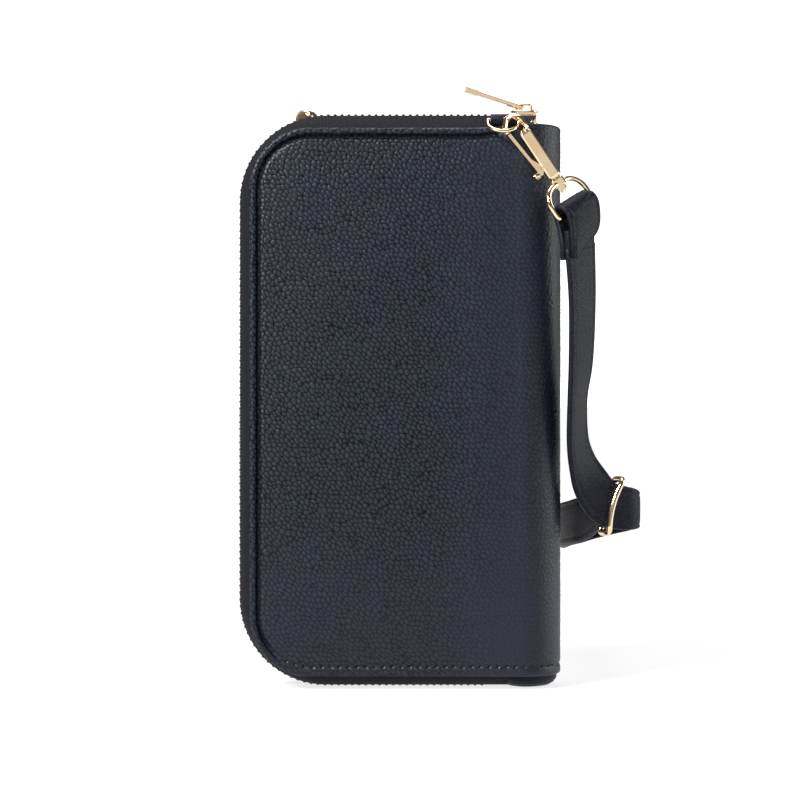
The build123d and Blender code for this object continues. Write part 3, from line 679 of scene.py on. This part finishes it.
# ---- zip teeth: shaped metal teeth that mesh at the middle ----
TOOTH_PITCH = 2.27
SLIDER_WAY = 1.25         # teeth of the top run stand back, so that the slider's post can pass
OUTLINE = [(-0.47, -2.5), (-0.47, -1.1), (-0.34, -0.55), (-0.50, -0.15), (-0.46, 0.25), (-0.22, 0.48),
           (0.22, 0.48), (0.46, 0.25), (0.50, -0.15), (0.34, -0.55), (0.47, -1.1), (0.47, -2.5)]
LEVELS = [(-1.0, 0.86), (-0.85, 1.0), (0.72, 1.0), (0.92, 0.90), (1.02, 0.66)]


def chain_place(distance, right):
    """Centre of a tooth and its outward angle, as far along the zip's line."""
    radius = CHAIN_RADIUS - 1.0
    left = CHAIN_LEFT + CHAIN_RADIUS
    lengths = [right - left, radius * pi / 2, CHAIN_TOP - 2 * CHAIN_RADIUS, radius * pi / 2]
    if distance < lengths[0]:
        return right - distance, CHAIN_TOP - 1.0, 0.0
    distance -= lengths[0]
    if distance < lengths[1]:
        a = distance / radius
        return left - radius * sin(a), CHAIN_TOP - CHAIN_RADIUS + radius * cos(a), a
    distance -= lengths[1]
    if distance < lengths[2]:
        return CHAIN_LEFT + 1.0, CHAIN_TOP - CHAIN_RADIUS - distance, pi / 2
    distance -= lengths[2]
    if distance < lengths[3]:
        a = pi / 2 + distance / radius
        return left - radius * sin(a), CHAIN_RADIUS + radius * cos(a), a
    return left + distance - lengths[3], 1.0, pi


run_top = CHAIN_RIGHT - CHAIN_LEFT - CHAIN_RADIUS
to_middle = run_top + pi * (CHAIN_RADIUS - 1) + CHAIN_TOP - 2 * CHAIN_RADIUS - CHAIN_LEFT - CHAIN_RADIUS
before = int((to_middle - 4.0) / TOOTH_PITCH)
after = int((CHAIN_RIGHT - 8.0) / TOOTH_PITCH)
for side, name, body in COVERS:
    points, faces = [], []
    for number in range(-before, after):
        shift = TOOTH_PITCH / 2 if side > 0 else 0.0
        x, z, turn = chain_place(to_middle + shift + number * TOOTH_PITCH, CHAIN_RIGHT)
        outward = np.array([-sin(turn), 0, cos(turn)])
        along = np.array([cos(turn), 0, sin(turn)])
        way = SLIDER_WAY if turn == 0 else 0.0
        start = len(points)
        for level, size in LEVELS:
            for a, y in OUTLINE:
                reach = (y if y < 0 else y * size) - way
                place = np.array([x, 0, z]) + along * a * size
                points.append(place - Y_AXIS * side * reach + outward * level)
        faces += solid_faces(len(LEVELS), len(OUTLINE), start)
    made = make_piece(f"{name}_teeth", points, faces, dark_teeth, body, smooth=False)
    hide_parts(f"{name}_zip_teeth")


# ---- soft sheets and pockets inside ----
def soft_sheet(name, node_names, material, body, top_radius, bottom_radius, crown=(0.0, 0.0), waves=0.08):
    """A soft sheet in the space of its node: rounded free corners, thin edges, a slight swell.
    crown is how far its two faces (towards -Y, towards +Y) stand proud in the middle."""
    lows, highs = zip(*[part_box(n) for n in node_names])
    low = np.min(np.array(lows), 0) / MM
    high = np.max(np.array(highs), 0) / MM
    tall, wide = high[2] - low[2], high[0] - low[0]
    v = fine_steps(tall, 0.5, 3.0, 1.6)
    s = fine_steps(wide, 0.5, 3.0, 1.6) / wide
    near = np.minimum(v, tall - v)
    radius = np.where(v < tall / 2, bottom_radius, top_radius) + 1e-6
    cut = corner_cut(near, radius)
    x = low[0] + cut[:, None] + s[None, :] * (wide - cut[:, None])
    z = low[2] + np.repeat(v[:, None], len(s), 1)
    from_left = (s[None, :] * (wide - cut[:, None])) * np.ones(x.shape)
    edge = np.minimum(np.minimum(from_left, wide - (x - low[0])), near[:, None])
    swell = 1 - np.exp(-(edge / 9.0) ** 1.4)
    ripple = waves * slow_waves(x, z, len(name), 26) * smooth_step(edge, 1, 8)
    thin = (high[1] - low[1]) * 0.42 * (1 - smooth_step(edge, 0, 0.9))
    back = low[1] + thin - crown[0] * swell + ripple * (crown[0] > 0)
    front = high[1] - thin + crown[1] * swell + ripple * (crown[1] > 0)
    rows, columns = x.shape
    points = np.concatenate([np.stack([x, y, z], -1).reshape(-1, 3) for y in (back, front)])
    faces = np.concatenate([grid_faces(rows, columns), grid_faces(rows, columns, rows * columns)[:, ::-1]])
    rim = grid_rim(rows, columns)
    other = rim + rows * columns
    sides = np.stack([rim, other, np.roll(other, -1), np.roll(rim, -1)], -1)
    made = make_piece(name, points, np.concatenate([faces, sides]), material, body)
    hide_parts(*node_names)
    return low, high


def mouth_line(low, high, y, down, left=2):
    """Line for the stitches this far below a pocket's mouth."""
    return [(low[0] + left, y, high[2] - down), (high[0] - 2, y, high[2] - down)]


LINING_CORNER = 18.5
POCKET_CORNER = 22.0
for _, name, body in COVERS:
    low, high = soft_sheet(f"{name}_lining_cloth", [f"{name}_lining"], lining_cloth, body,
                           LINING_CORNER, LINING_CORNER)
    wide, tall = (high[0] - low[0]) * MM, (high[2] - low[2]) * MM
for number in range(1, 6):
    low, high = soft_sheet(f"card_pocket_{number}", [f"card_slot_{number}"], inner_leather, "wallet_back",
                           0.6, POCKET_CORNER, (0, 0.06), 0.04)
    stitches(f"card_pocket_thread_{number}", [mouth_line(low, high, high[1] + 0.02, 1.6)],
             "wallet_back", 2.2, 1.6, 0.13)
low, high = soft_sheet("slip_pocket", ["front_slip_pocket"], inner_leather, "front_cover",
                       0.6, POCKET_CORNER, (0.3, 0))
stitches("slip_pocket_thread", [mouth_line(low, high, low[1] - 0.3, 1.8)],
         "front_cover", 2.2, 1.6, 0.15)
low, high = soft_sheet("coin_pocket", ["coin_pocket_back", "coin_pocket_front", "coin_pocket_gusset"],
                       lining_cloth, "coin_page", POCKET_CORNER, POCKET_CORNER, (0.25, 0.1), 0.05)
stitches("coin_pocket_thread", [mouth_line(low, high, y, 3.4, 24) for y in (low[1] - 0.02, high[1] + 0.02)],
         "coin_page", 2.4, 1.7, 0.15)

# ---- the strap's line, as the frame has it; the loop's far end hangs up to 3 mm less ----
NECK = np.array([58.9, -16.4, 145.5])
NECK_ACROSS = unit([0.66, 0.75, 0])
CLASP_ORIGIN = np.array([37.0, -16.6, 184.5])
CLASP_AXIS = unit([0.555, 0, -0.832])
CLASP_ACROSS = np.cross([0, -1, 0], CLASP_AXIS)
BODY_MIDDLE = 2.2
EYE_BAR = 34.0
AXIS_POINT = CLASP_ORIGIN + CLASP_ACROSS * BODY_MIDDLE
BAR_DIRECTION = CLASP_ACROSS * cos(radians(36)) + Y_AXIS * sin(radians(36))
BAR_CENTRE = AXIS_POINT + CLASP_AXIS * EYE_BAR
SLIDE_RUN = np.array([71.3, 1.5, 59.5])
SLIDE_DEEP = unit([-0.45, 0.893, 0])
SLIDE_UP = np.array([0.27, 0.13, 0.94])
SLIDE_UP = unit(SLIDE_UP - SLIDE_DEEP * np.dot(SLIDE_UP, SLIDE_DEEP))
FAR_POINT = SLIDE_RUN + SLIDE_DEEP * 3.6
run_down = [
    (NECK, NECK_ACROSS), ((59.9, -13.0, 128.0), (0.59, 0.81, 0)), ((59.7, -10.0, 108.0), (0.53, 0.85, 0)),
    ((58.7, -8.0, 95.0), (0.42, 0.90, 0.05)), ((58.9, -5.5, 82.0), (0.46, 0.87, 0.15)),
    ((60.6, -3.5, 74.0), (0.50, 0.70, 0.45)), ((64.0, -2.0, 66.5), (0.45, 0.35, 0.80)),
    ((68.0, 0.0, 61.2), (0.20, 0.10, 0.97)), ((71.3, 1.5, 59.5), (0.10, 0, 0.99)),
    ((75.0, 3.3, 58.8), (0.05, 0, 1)), ((77.8, 4.9, 58.5), (0, 0, 1)),
    ((79.9, 7.6, 58.4), (0, 0, 1)), ((79.3, 10.9, 58.2), (0, 0, 1)), ((76.4, 13.0, 58.0), (0, 0, 1)),
]
loop_line = [
    (69.0, 14.2, 56.6, 5.2), (64.6, 19.0, 55.0, 3.2), (61.0, 26.0, 53.2, 2.7),
    (58.4, 36.0, 51.8, 2.6), (57.4, 48.0, 50.4, 2.6), (57.4, 62.0, 49.2, 2.8),
    (57.6, 80.0, 48.4, 4.0), (58.4, 100.0, 47.6, 7.6), (59.6, 116.0, 46.8, 10.6),
    (60.4, 128.0, 46.2, 11.0),
]


def loop_leg(side):
    leg = []
    for number, (x, y, z, gap) in enumerate(loop_line):
        ahead = loop_line[min(number + 1, len(loop_line) - 1)]
        behind = loop_line[max(number - 1, 0)]
        along = unit([ahead[0] - behind[0], ahead[1] - behind[1], 0])
        leg.append((np.array([x, y, z]) + np.array([along[1], -along[0], 0]) * side * gap / 2, (0, 0, 1)))
    return leg


end_x, end_y, end_z, end_gap = loop_line[-1]
round_end = [((end_x + end_gap / 2 * cos(n * pi / 6), end_y + end_gap / 2 * sin(n * pi / 6),
               end_z - 0.3 * sin(n * pi / 6)), (0, 0, 1)) for n in range(1, 6)]
return_leg = loop_leg(-1)[:0:-1]
fold_out = np.array(return_leg[-1][0]) - FAR_POINT
fold_out = unit(fold_out - SLIDE_UP * np.dot(fold_out, SLIDE_UP))
route = run_down + loop_leg(1) + round_end + return_leg + [(FAR_POINT + fold_out * 2.3, SLIDE_UP)]


def strap_profile(wide, thick):
    """Cross-section of the strap: rounded edges, and a pressed line along each side of each face."""
    half, t = wide / 2, thick / 2
    one_face = [(-half + 0.15, 0.62), (-half + 0.55, 0.93), (-half + 1.1, 1.0), (-half + 1.75, 0.80),
                (-half + 2.4, 1.0), (-half / 2, 1.08), (0, 1.1), (half / 2, 1.08), (half - 2.4, 1.0),
                (half - 1.75, 0.80), (half - 1.1, 1.0), (half - 0.55, 0.93), (half - 0.15, 0.62)]
    upper = [(w, k * t) for w, k in one_face]
    return np.array([(-half, 0.0)] + upper + [(half, 0.0)] + [(w, -k) for w, k in upper[::-1]])


def ribbon(stations, wide, thick, steps, spans=None):
    """Flat strap through stations of (centre, across). spans are its left and right edges at
    each station, where it isn't its full width. Gives the mesh and the lines for its stitches."""
    centres = smooth_curve([s[0] for s in stations], steps)
    across = smooth_curve([unit(s[1]) for s in stations], steps)
    along = tangents(centres)
    across = unit(across - along * np.sum(across * along, 1, keepdims=True))
    normal = np.cross(along, across)
    profile = strap_profile(wide, thick)
    spans = smooth_curve(spans or [(-wide / 2, wide / 2)] * len(stations), steps)
    middle = spans.mean(1)[:, None]
    share = (spans[:, 1:] - spans[:, :1]) / wide
    sideways = middle + share * profile[None, :, 0]
    points = (centres[:, None] + across[:, None] * sideways[:, :, None]
              + normal[:, None] * profile[None, :, 1:])
    faces = solid_faces(len(centres), len(profile))
    lines = []
    for w in (-wide / 2 + 1.75, wide / 2 - 1.75):
        for face in (-1, 1):
            lines.append(centres + across * (middle + share * w) + normal * (face * thick * 0.40))
    return points.reshape(-1, 3), faces, lines


def strap_piece(name, *stations_and_sizes):
    points, faces, lines = ribbon(*stations_and_sizes)
    return make_piece(name, points, faces, smooth_leather, "strap"), lines


STRAP_WIDE, STRAP_THICK = 15.0, 2.0
FULL_SPAN = (-STRAP_WIDE / 2, STRAP_WIDE / 2)
route_spans = [FULL_SPAN] * len(route)
route_spans[9:13] = [(-7.4, 7.3), (-7.1, 6.8), (-6.6, 6.0), (-7.0, 6.9)]
strap, lines = strap_piece("wrist_strap", route, STRAP_WIDE, STRAP_THICK, 8, route_spans)
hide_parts("strap_run", "strap_loop_outer", "strap_loop_end", "strap_loop_inner")
stitches("strap_thread", lines, "strap", 2.6, 1.9, 0.17)

# the strap's top end: down from the clasp's eye behind, over its bar, and back as a rounded flap
down = NECK - BAR_CENTRE
bar_down = unit(down - BAR_DIRECTION * np.dot(down, BAR_DIRECTION))
bar_front = np.cross(bar_down, BAR_DIRECTION)
bar_front = bar_front * -np.sign(bar_front[1])
RUN_DOWN = unit([1.0, 3.4, -17.5])
neck_front = unit(np.cross(RUN_DOWN, NECK_ACROSS))
neck_front = neck_front * -np.sign(neck_front[1])
WRAP = 3.0                # radius of the turn over the bar


def neck_station(up, push):
    """Centre and direction across of the fold: up from the neck (0) towards the bar (1), or below
    the neck if it is negative, and pushed forward from the strap's middle."""
    near = max(up, 0)
    place = NECK * (1 - near) + (BAR_CENTRE + bar_down * 1.2) * near + RUN_DOWN * max(-up, 0) * 11
    forward = unit(neck_front * (1 - near) + bar_front * near)
    return place + forward * push, unit(NECK_ACROSS * (1 - near) + BAR_DIRECTION * near)


FLAP = [(-0.28, 2.15, (-6.6, -4.2)), (0.0, 2.35, (-7.3, -1.4)), (0.30, 2.6, (-7.5, 4.4)),
        (0.62, 2.9, (-7.5, 7.0))]
REAR = [(0.7, 2.5), (0.35, 2.2), (0.0, 2.0), (-0.35, 2.0)]
turn_over = [neck_station(up, push) for up, push, _ in FLAP]
spans = [span for _, _, span in FLAP]
for angle in np.linspace(0, pi, 9):
    over = BAR_CENTRE + bar_front * WRAP * cos(angle) - bar_down * (WRAP * 1.15) * sin(angle)
    turn_over.append((over, BAR_DIRECTION))
    spans.append((-7.5, 7.5 - 1.1 * sin(angle)))
turn_over += [neck_station(up, -push) for up, push in REAR]
spans += [FULL_SPAN] * len(REAR)
made, lines = strap_piece("strap_end_fold", turn_over, STRAP_WIDE, 1.9, 7, spans)
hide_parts("strap_end")
stitches("strap_end_thread", lines, "strap", 2.6, 1.9, 0.17)
# filler piece of leather between the two layers at the neck
fill = [(NECK + RUN_DOWN * 1.0, NECK_ACROSS), (NECK - RUN_DOWN * 3.0, NECK_ACROSS),
        (NECK - RUN_DOWN * 5.6, unit(NECK_ACROSS + BAR_DIRECTION))]
strap_piece("strap_end_filler", fill, 14.6, 2.6, 5, [(-7.2, 6.6), (-7.2, 7.0), (-7.1, 7.1)])

# the strap's other end, folded round the slide's far bar
fold_side = np.cross(SLIDE_UP, fold_out)
curl = [(FAR_POINT + (fold_out * cos(a) + fold_side * sin(a)) * 1.75, SLIDE_UP)
        for a in np.linspace(radians(10), radians(350), 15)]
made, _ = strap_piece("strap_slide_curl", curl, STRAP_WIDE, 1.25, 4)
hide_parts("strap_slide_fold")

# ---- gold wire parts ----
eye = rounded_path([(23.8, -8.7), (23.8, 8.7), (EYE_BAR, 8.7), (EYE_BAR, -8.7)], (6.2, 6.2, 1.2, 1.2), 12)
eye_path = in_plane(eye, AXIS_POINT, CLASP_AXIS, BAR_DIRECTION, 0.6)
tube("swivel_eye_wire", eye_path, 0.88, "swivel_eye", True)

SLIDE_HALF = 9.4
slide = rounded_path([(-2.3, -SLIDE_HALF), (-2.3, SLIDE_HALF), (3.6, SLIDE_HALF), (3.6, -SLIDE_HALF)],
                     (1.9, 1.9, 1.2, 1.2), 10)
slide_path = in_plane(slide, SLIDE_RUN, SLIDE_DEEP, SLIDE_UP, 0.6)
from_run = slide_path - SLIDE_RUN
near_side = smooth_step(-(from_run @ SLIDE_DEEP), 0.5, 2.3)
bow = 1.5 * near_side * (1 - ((from_run @ SLIDE_UP) / SLIDE_HALF) ** 2)
slide_path = slide_path - np.cross(SLIDE_DEEP, SLIDE_UP) * bow[:, None]
made = tube("slide_wire", slide_path, 0.98, "strap_slide", True)
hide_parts("strap_slide")


def on_clasp(along, across, out):
    return CLASP_ORIGIN + CLASP_AXIS * along + CLASP_ACROSS * across - Y_AXIS * out


def faceted(name, rings, body, bevel, material=gold):
    """Cut block: rings of points joined one to the next, with softened edges."""
    points = [p for ring in rings for p in ring]
    faces = solid_faces(len(rings), len(rings[0]))
    made = make_piece(name, points, faces, material, body, smooth=False)
    soften = made.modifiers.new("soften", "BEVEL")
    soften.width = bevel * MM
    soften.segments = 2
    soften.angle_limit = radians(12)
    return made


def bar_ring(along, half_wide, half_thick, cut):
    """Oblong section of the clasp's bar, with cut corners."""
    w, t = half_wide, half_thick
    corners = [(-w, -t + cut), (-w, t - cut), (-w + cut, t), (w - cut, t), (w, t - cut), (w, -t + cut),
               (w - cut, -t), (-w + cut, -t)]
    return [on_clasp(along, BODY_MIDDLE + b, out) for b, out in corners]


# the hook's outer and inner points, each as (along, across), from the bar round to the tip
HOOK = [((5.2, 4.15), (5.2, 0.5)), ((2.9, 4.25), (3.3, 1.5)), ((0.9, 4.25), (1.9, 2.7)),
        ((-1.5, 4.2), (-0.3, 2.45)), ((-4.0, 1.9), (-2.25, 1.2)), ((-4.0, -1.2), (-2.25, -0.5)),
        ((-1.5, -3.4), (-0.6, -1.85)), ((1.2, -3.4), (1.2, -1.95))]
HOOK_BACK = 0.8           # its far side is flatter, so that it clears the ring's leather tube
hook_rings = []
for number, (outer, inner) in enumerate(HOOK):
    ridge = (np.array(outer) * 0.45 + np.array(inner) * 0.55)
    tall = 1.45 if number < 5 else 1.15
    hook_rings.append([on_clasp(*outer, -0.45), on_clasp(*outer, 0.45), on_clasp(*ridge, tall),
                       on_clasp(*inner, 0.55), on_clasp(*inner, -0.55), on_clasp(*ridge, -HOOK_BACK)])
faceted("clasp_hook", hook_rings, "clasp", 0.10)
clasp_bar = faceted("clasp_bar", [
    bar_ring(2.7, 1.25, 0.7, 0.3), bar_ring(4.3, 2.0, 1.5, 0.42), bar_ring(20.9, 2.0, 1.5, 0.42),
    bar_ring(21.6, 1.6, 1.15, 0.3),
], "clasp", 0.12)
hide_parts("clasp_body")
collar = faceted("eye_collar", [
    bar_ring(21.85, 1.7, 1.2, 0.35), bar_ring(22.3, 2.15, 1.5, 0.40), bar_ring(24.9, 2.15, 1.5, 0.40),
    bar_ring(25.0, 1.45, 1.15, 0.35), bar_ring(26.3, 1.45, 1.15, 0.35), bar_ring(26.4, 0.95, 0.9, 0.3),
    bar_ring(27.1, 0.9, 0.85, 0.3),
], "swivel_eye", 0.10)
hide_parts("swivel_eye")
tube("swivel_pin", [on_clasp(a, BODY_MIDDLE, 0) for a in (20.5, 21.3, 22.2)], 0.8, "swivel_eye")

RING_CENTRE = np.array([33.8, -13.4, 187.0])
RING_DOWN = np.array([0, -0.8, -0.6])
RING_HALF = 4.95
RING_SIDE = 2.2           # straight part of the D before its round end
arc = [(RING_HALF * cos(a), RING_SIDE + RING_HALF * sin(a)) for a in np.linspace(0, pi, 26)]
ring = np.array([(-RING_HALF, 0), (RING_HALF, 0)] + arc)
made = tube("d_ring_wire", in_plane(ring, RING_CENTRE, X_AXIS, RING_DOWN, 0.45), 0.61, "d_ring", True, 16)
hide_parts("d_ring")


# ---- main slider: rounded plates, the post between them and an arch for the pull ----
def plate_rings(outline, low, high, cut):
    centre = np.mean(outline, 0)
    shrunk = outline + unit(centre - outline) * cut
    return [[(x, y, z) for x, y in line] for line, z in
            ((shrunk, low), (outline, low + cut), (outline, high - cut), (shrunk, high))]


SLIDER_X = 41.5
plate = oblong(37.0, 46.0, 3.8, (1.4, 3.4, 3.4, 1.4), 8)
upper = faceted("slider_upper_plate", plate_rings(plate, 190.55, 191.45, 0.22), "main_slider", 0.05)
faceted("slider_lower_plate", plate_rings(plate, 186.55, 187.45, 0.22), "main_slider", 0.05)
post = oblong(44.1, 45.7, 0.55, (0.3,) * 4, 4)
faceted("slider_post", plate_rings(post, 187.2, 190.8, 0.02), "main_slider", 0.02)
for side in (-1, 1):
    wing = oblong(38.8, 44.2, 0.25, (0.1,) * 4, 3, side * 3.55)
    faceted(f"slider_wing_{side + 2}", plate_rings(wing, 190.1, 190.7, 0.02), "main_slider", 0.02)
ARCH = [(-1, -0.3), (-1, 0.9), (-0.88, 1.7), (-0.6, 2.15), (0, 2.3), (0.6, 2.15), (0.88, 1.7),
        (1, 0.9), (1, -0.3)]
arch_path = smooth_curve([(SLIDER_X + 2.5 * x, 0, 191.35 + z) for x, z in ARCH], 4)
tube("slider_bridge", arch_path, 0.42, "main_slider")
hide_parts("main_slider")

# leather that closes the zip's ends under the spine
foot_outline = oblong(33.0, 52.6, 12.4, (9.0, 11.6, 11.6, 9.0), 14)
foot_middle = np.array([42.0, 0.0])
foot_rings = [[(*(corner + unit(foot_middle - corner) * back), z) for corner in foot_outline]
              for back, z in ((5.0, 0.12), (3.0, 0.45), (1.4, 1.4), (0.5, 2.6), (0.2, 4.7))]
foot = faceted("zip_foot", foot_rings, "wallet_back", 0.2, smooth_leather)
foot.data.polygons.foreach_set("use_smooth", np.ones(len(foot.data.polygons), bool))
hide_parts("bottom_zip_end")

# bright rim round the face of the strap's second anchor
LUG_CENTRE = np.array([-31.6, 15.4, 190.4])
LUG_AXIS = unit([-0.42, -0.9, 0])
rim_side = np.cross(LUG_AXIS, Z_AXIS)
rim = [LUG_CENTRE + LUG_AXIS * 2.3 + (rim_side * cos(t) + Z_AXIS * sin(t)) * 2.72
       for t in np.linspace(0, 2 * pi, 41)[:-1]]
tube("lug_rim", rim, 0.42, "front_cover", True, 12)


# ---- CAD nodes kept as they are: finish and softened edges ----
def finish_node(name, material, bevel):
    piece = nodes[name]
    piece.data.materials.clear()
    piece.data.materials.append(material)
    if bevel:
        weld = piece.modifiers.new("weld", "WELD")
        weld.merge_threshold = 0.000002
        soften = piece.modifiers.new("soften", "BEVEL")
        soften.width = bevel * MM
        soften.segments = 3
        soften.limit_method = "ANGLE"
        soften.angle_limit = radians(35)
        soften.harden_normals = True


GOLD_NODES = ("clasp_gate", "clasp_thumb_knob", "main_pull", "coin_slider", "coin_pull", "strap_lug",
              "strap_lug_screw")
for material, bevel, names in (
    (gold, 0.22, GOLD_NODES), (gold, 0.1, ["gate_pin"]), (steel, 0.08, ["gate_spring"]),
    (foam, 0, ["back_padding", "front_padding"]), (board, 0, ["back_board", "front_board"]),
    (lining_cloth, 0, ["spine_lining"]), (inner_leather, 0.3, ["top_zip_end"]),
    (smooth_leather, 0.3, ["d_ring_tab"]), (tape_cloth, 0.15, ["coin_tape_back", "coin_tape_front"]),
    (coil, 0.12, ["coin_zip_teeth"]),
):
    for name in names:
        finish_node(name, material, bevel)


# ---- floor, light and air ----
def studio_mesh(name, points, faces):
    mesh = bpy.data.meshes.new(name)
    mesh.from_pydata(points, [], faces)
    material, tree, shader = new_material(name)
    mesh.materials.append(material)
    return new_object(name, mesh), tree, shader


floor, floor_tree, floor_shader = studio_mesh(
    "floor", [(-40, -40, 0), (40, -40, 0), (40, 40, 0), (-40, 40, 0)], [(0, 1, 2, 3)])
floor.location.z = -0.0003
for socket, value in (("Base Color", (0.20, 0.20, 0.20, 1)), ("Roughness", 0.9),
                      ("Specular IOR Level", 0.0), ("Emission Color", (1, 1, 1, 1))):
    floor_shader.inputs[socket].default_value = value
away = add_node(floor_tree, "ShaderNodeVectorMath", {0: object_coords(floor_tree)}, operation="LENGTH")
feed(floor_shader, "Emission Strength", spread(floor_tree, away.outputs["Value"], 0.12, 0.9, 0.80, 0.98))
floor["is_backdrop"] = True

world = bpy.data.worlds.new("studio")
world.use_nodes = True
background = world.node_tree.nodes["Background"]
background.inputs["Color"].default_value = (1, 1, 1, 1)
background.inputs["Strength"].default_value = 0.10
bpy.context.scene.world = world
bpy.context.scene.view_settings.view_transform = "Standard"


def area_light(name, place, target, size, power):
    data = bpy.data.lights.new(name, "AREA")
    data.shape = "RECTANGLE"
    data.size, data.size_y = size
    data.energy = power
    lamp = new_object(name, data)
    lamp.visible_camera = False
    lamp.location = place
    lamp.rotation_euler = (Vector(target) - Vector(place)).to_track_quat("-Z", "Y").to_euler()


# a bright dome that only the camera sees, so that the background is white
DOME_RADIUS, DOME_ROWS, DOME_COLUMNS = 30, 14, 48
dome_turn = np.linspace(0, 2 * pi, DOME_COLUMNS + 1)[:-1]
dome_points = [(DOME_RADIUS * cos(t) * cos(r), DOME_RADIUS * sin(t) * cos(r), DOME_RADIUS * sin(r))
               for r in np.linspace(radians(-4), radians(88), DOME_ROWS) for t in dome_turn]
dome_faces = grid_faces(DOME_ROWS, DOME_COLUMNS, 0, False, True).tolist()
dome_faces.append(tuple(range((DOME_ROWS - 1) * DOME_COLUMNS, DOME_ROWS * DOME_COLUMNS)))
dome, _, dome_shader = studio_mesh("white_backdrop", dome_points, dome_faces)
for rays in ("diffuse", "glossy", "transmission", "volume_scatter", "shadow"):
    setattr(dome, f"visible_{rays}", False)
dome_shader.inputs["Emission Color"].default_value = (1, 1, 1, 1)
dome_shader.inputs["Emission Strength"].default_value = 1.05
dome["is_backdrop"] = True

area_light("key_light", (-0.72, -0.80, 0.85), (0, 0, 0.10), (0.40, 0.40), 38.0)
area_light("right_light", (1.0, 0.10, 0.34), (0.05, 0, 0.10), (0.9, 0.8), 7.0)
area_light("front_card", (0.09, -1.5, 0.36), (0.04, 0, 0.17), (0.50, 0.50), 0.55)
area_light("top_light", (-0.15, 0.15, 1.1), (0, 0, 0), (0.7, 0.7), 9.0)

low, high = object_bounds()
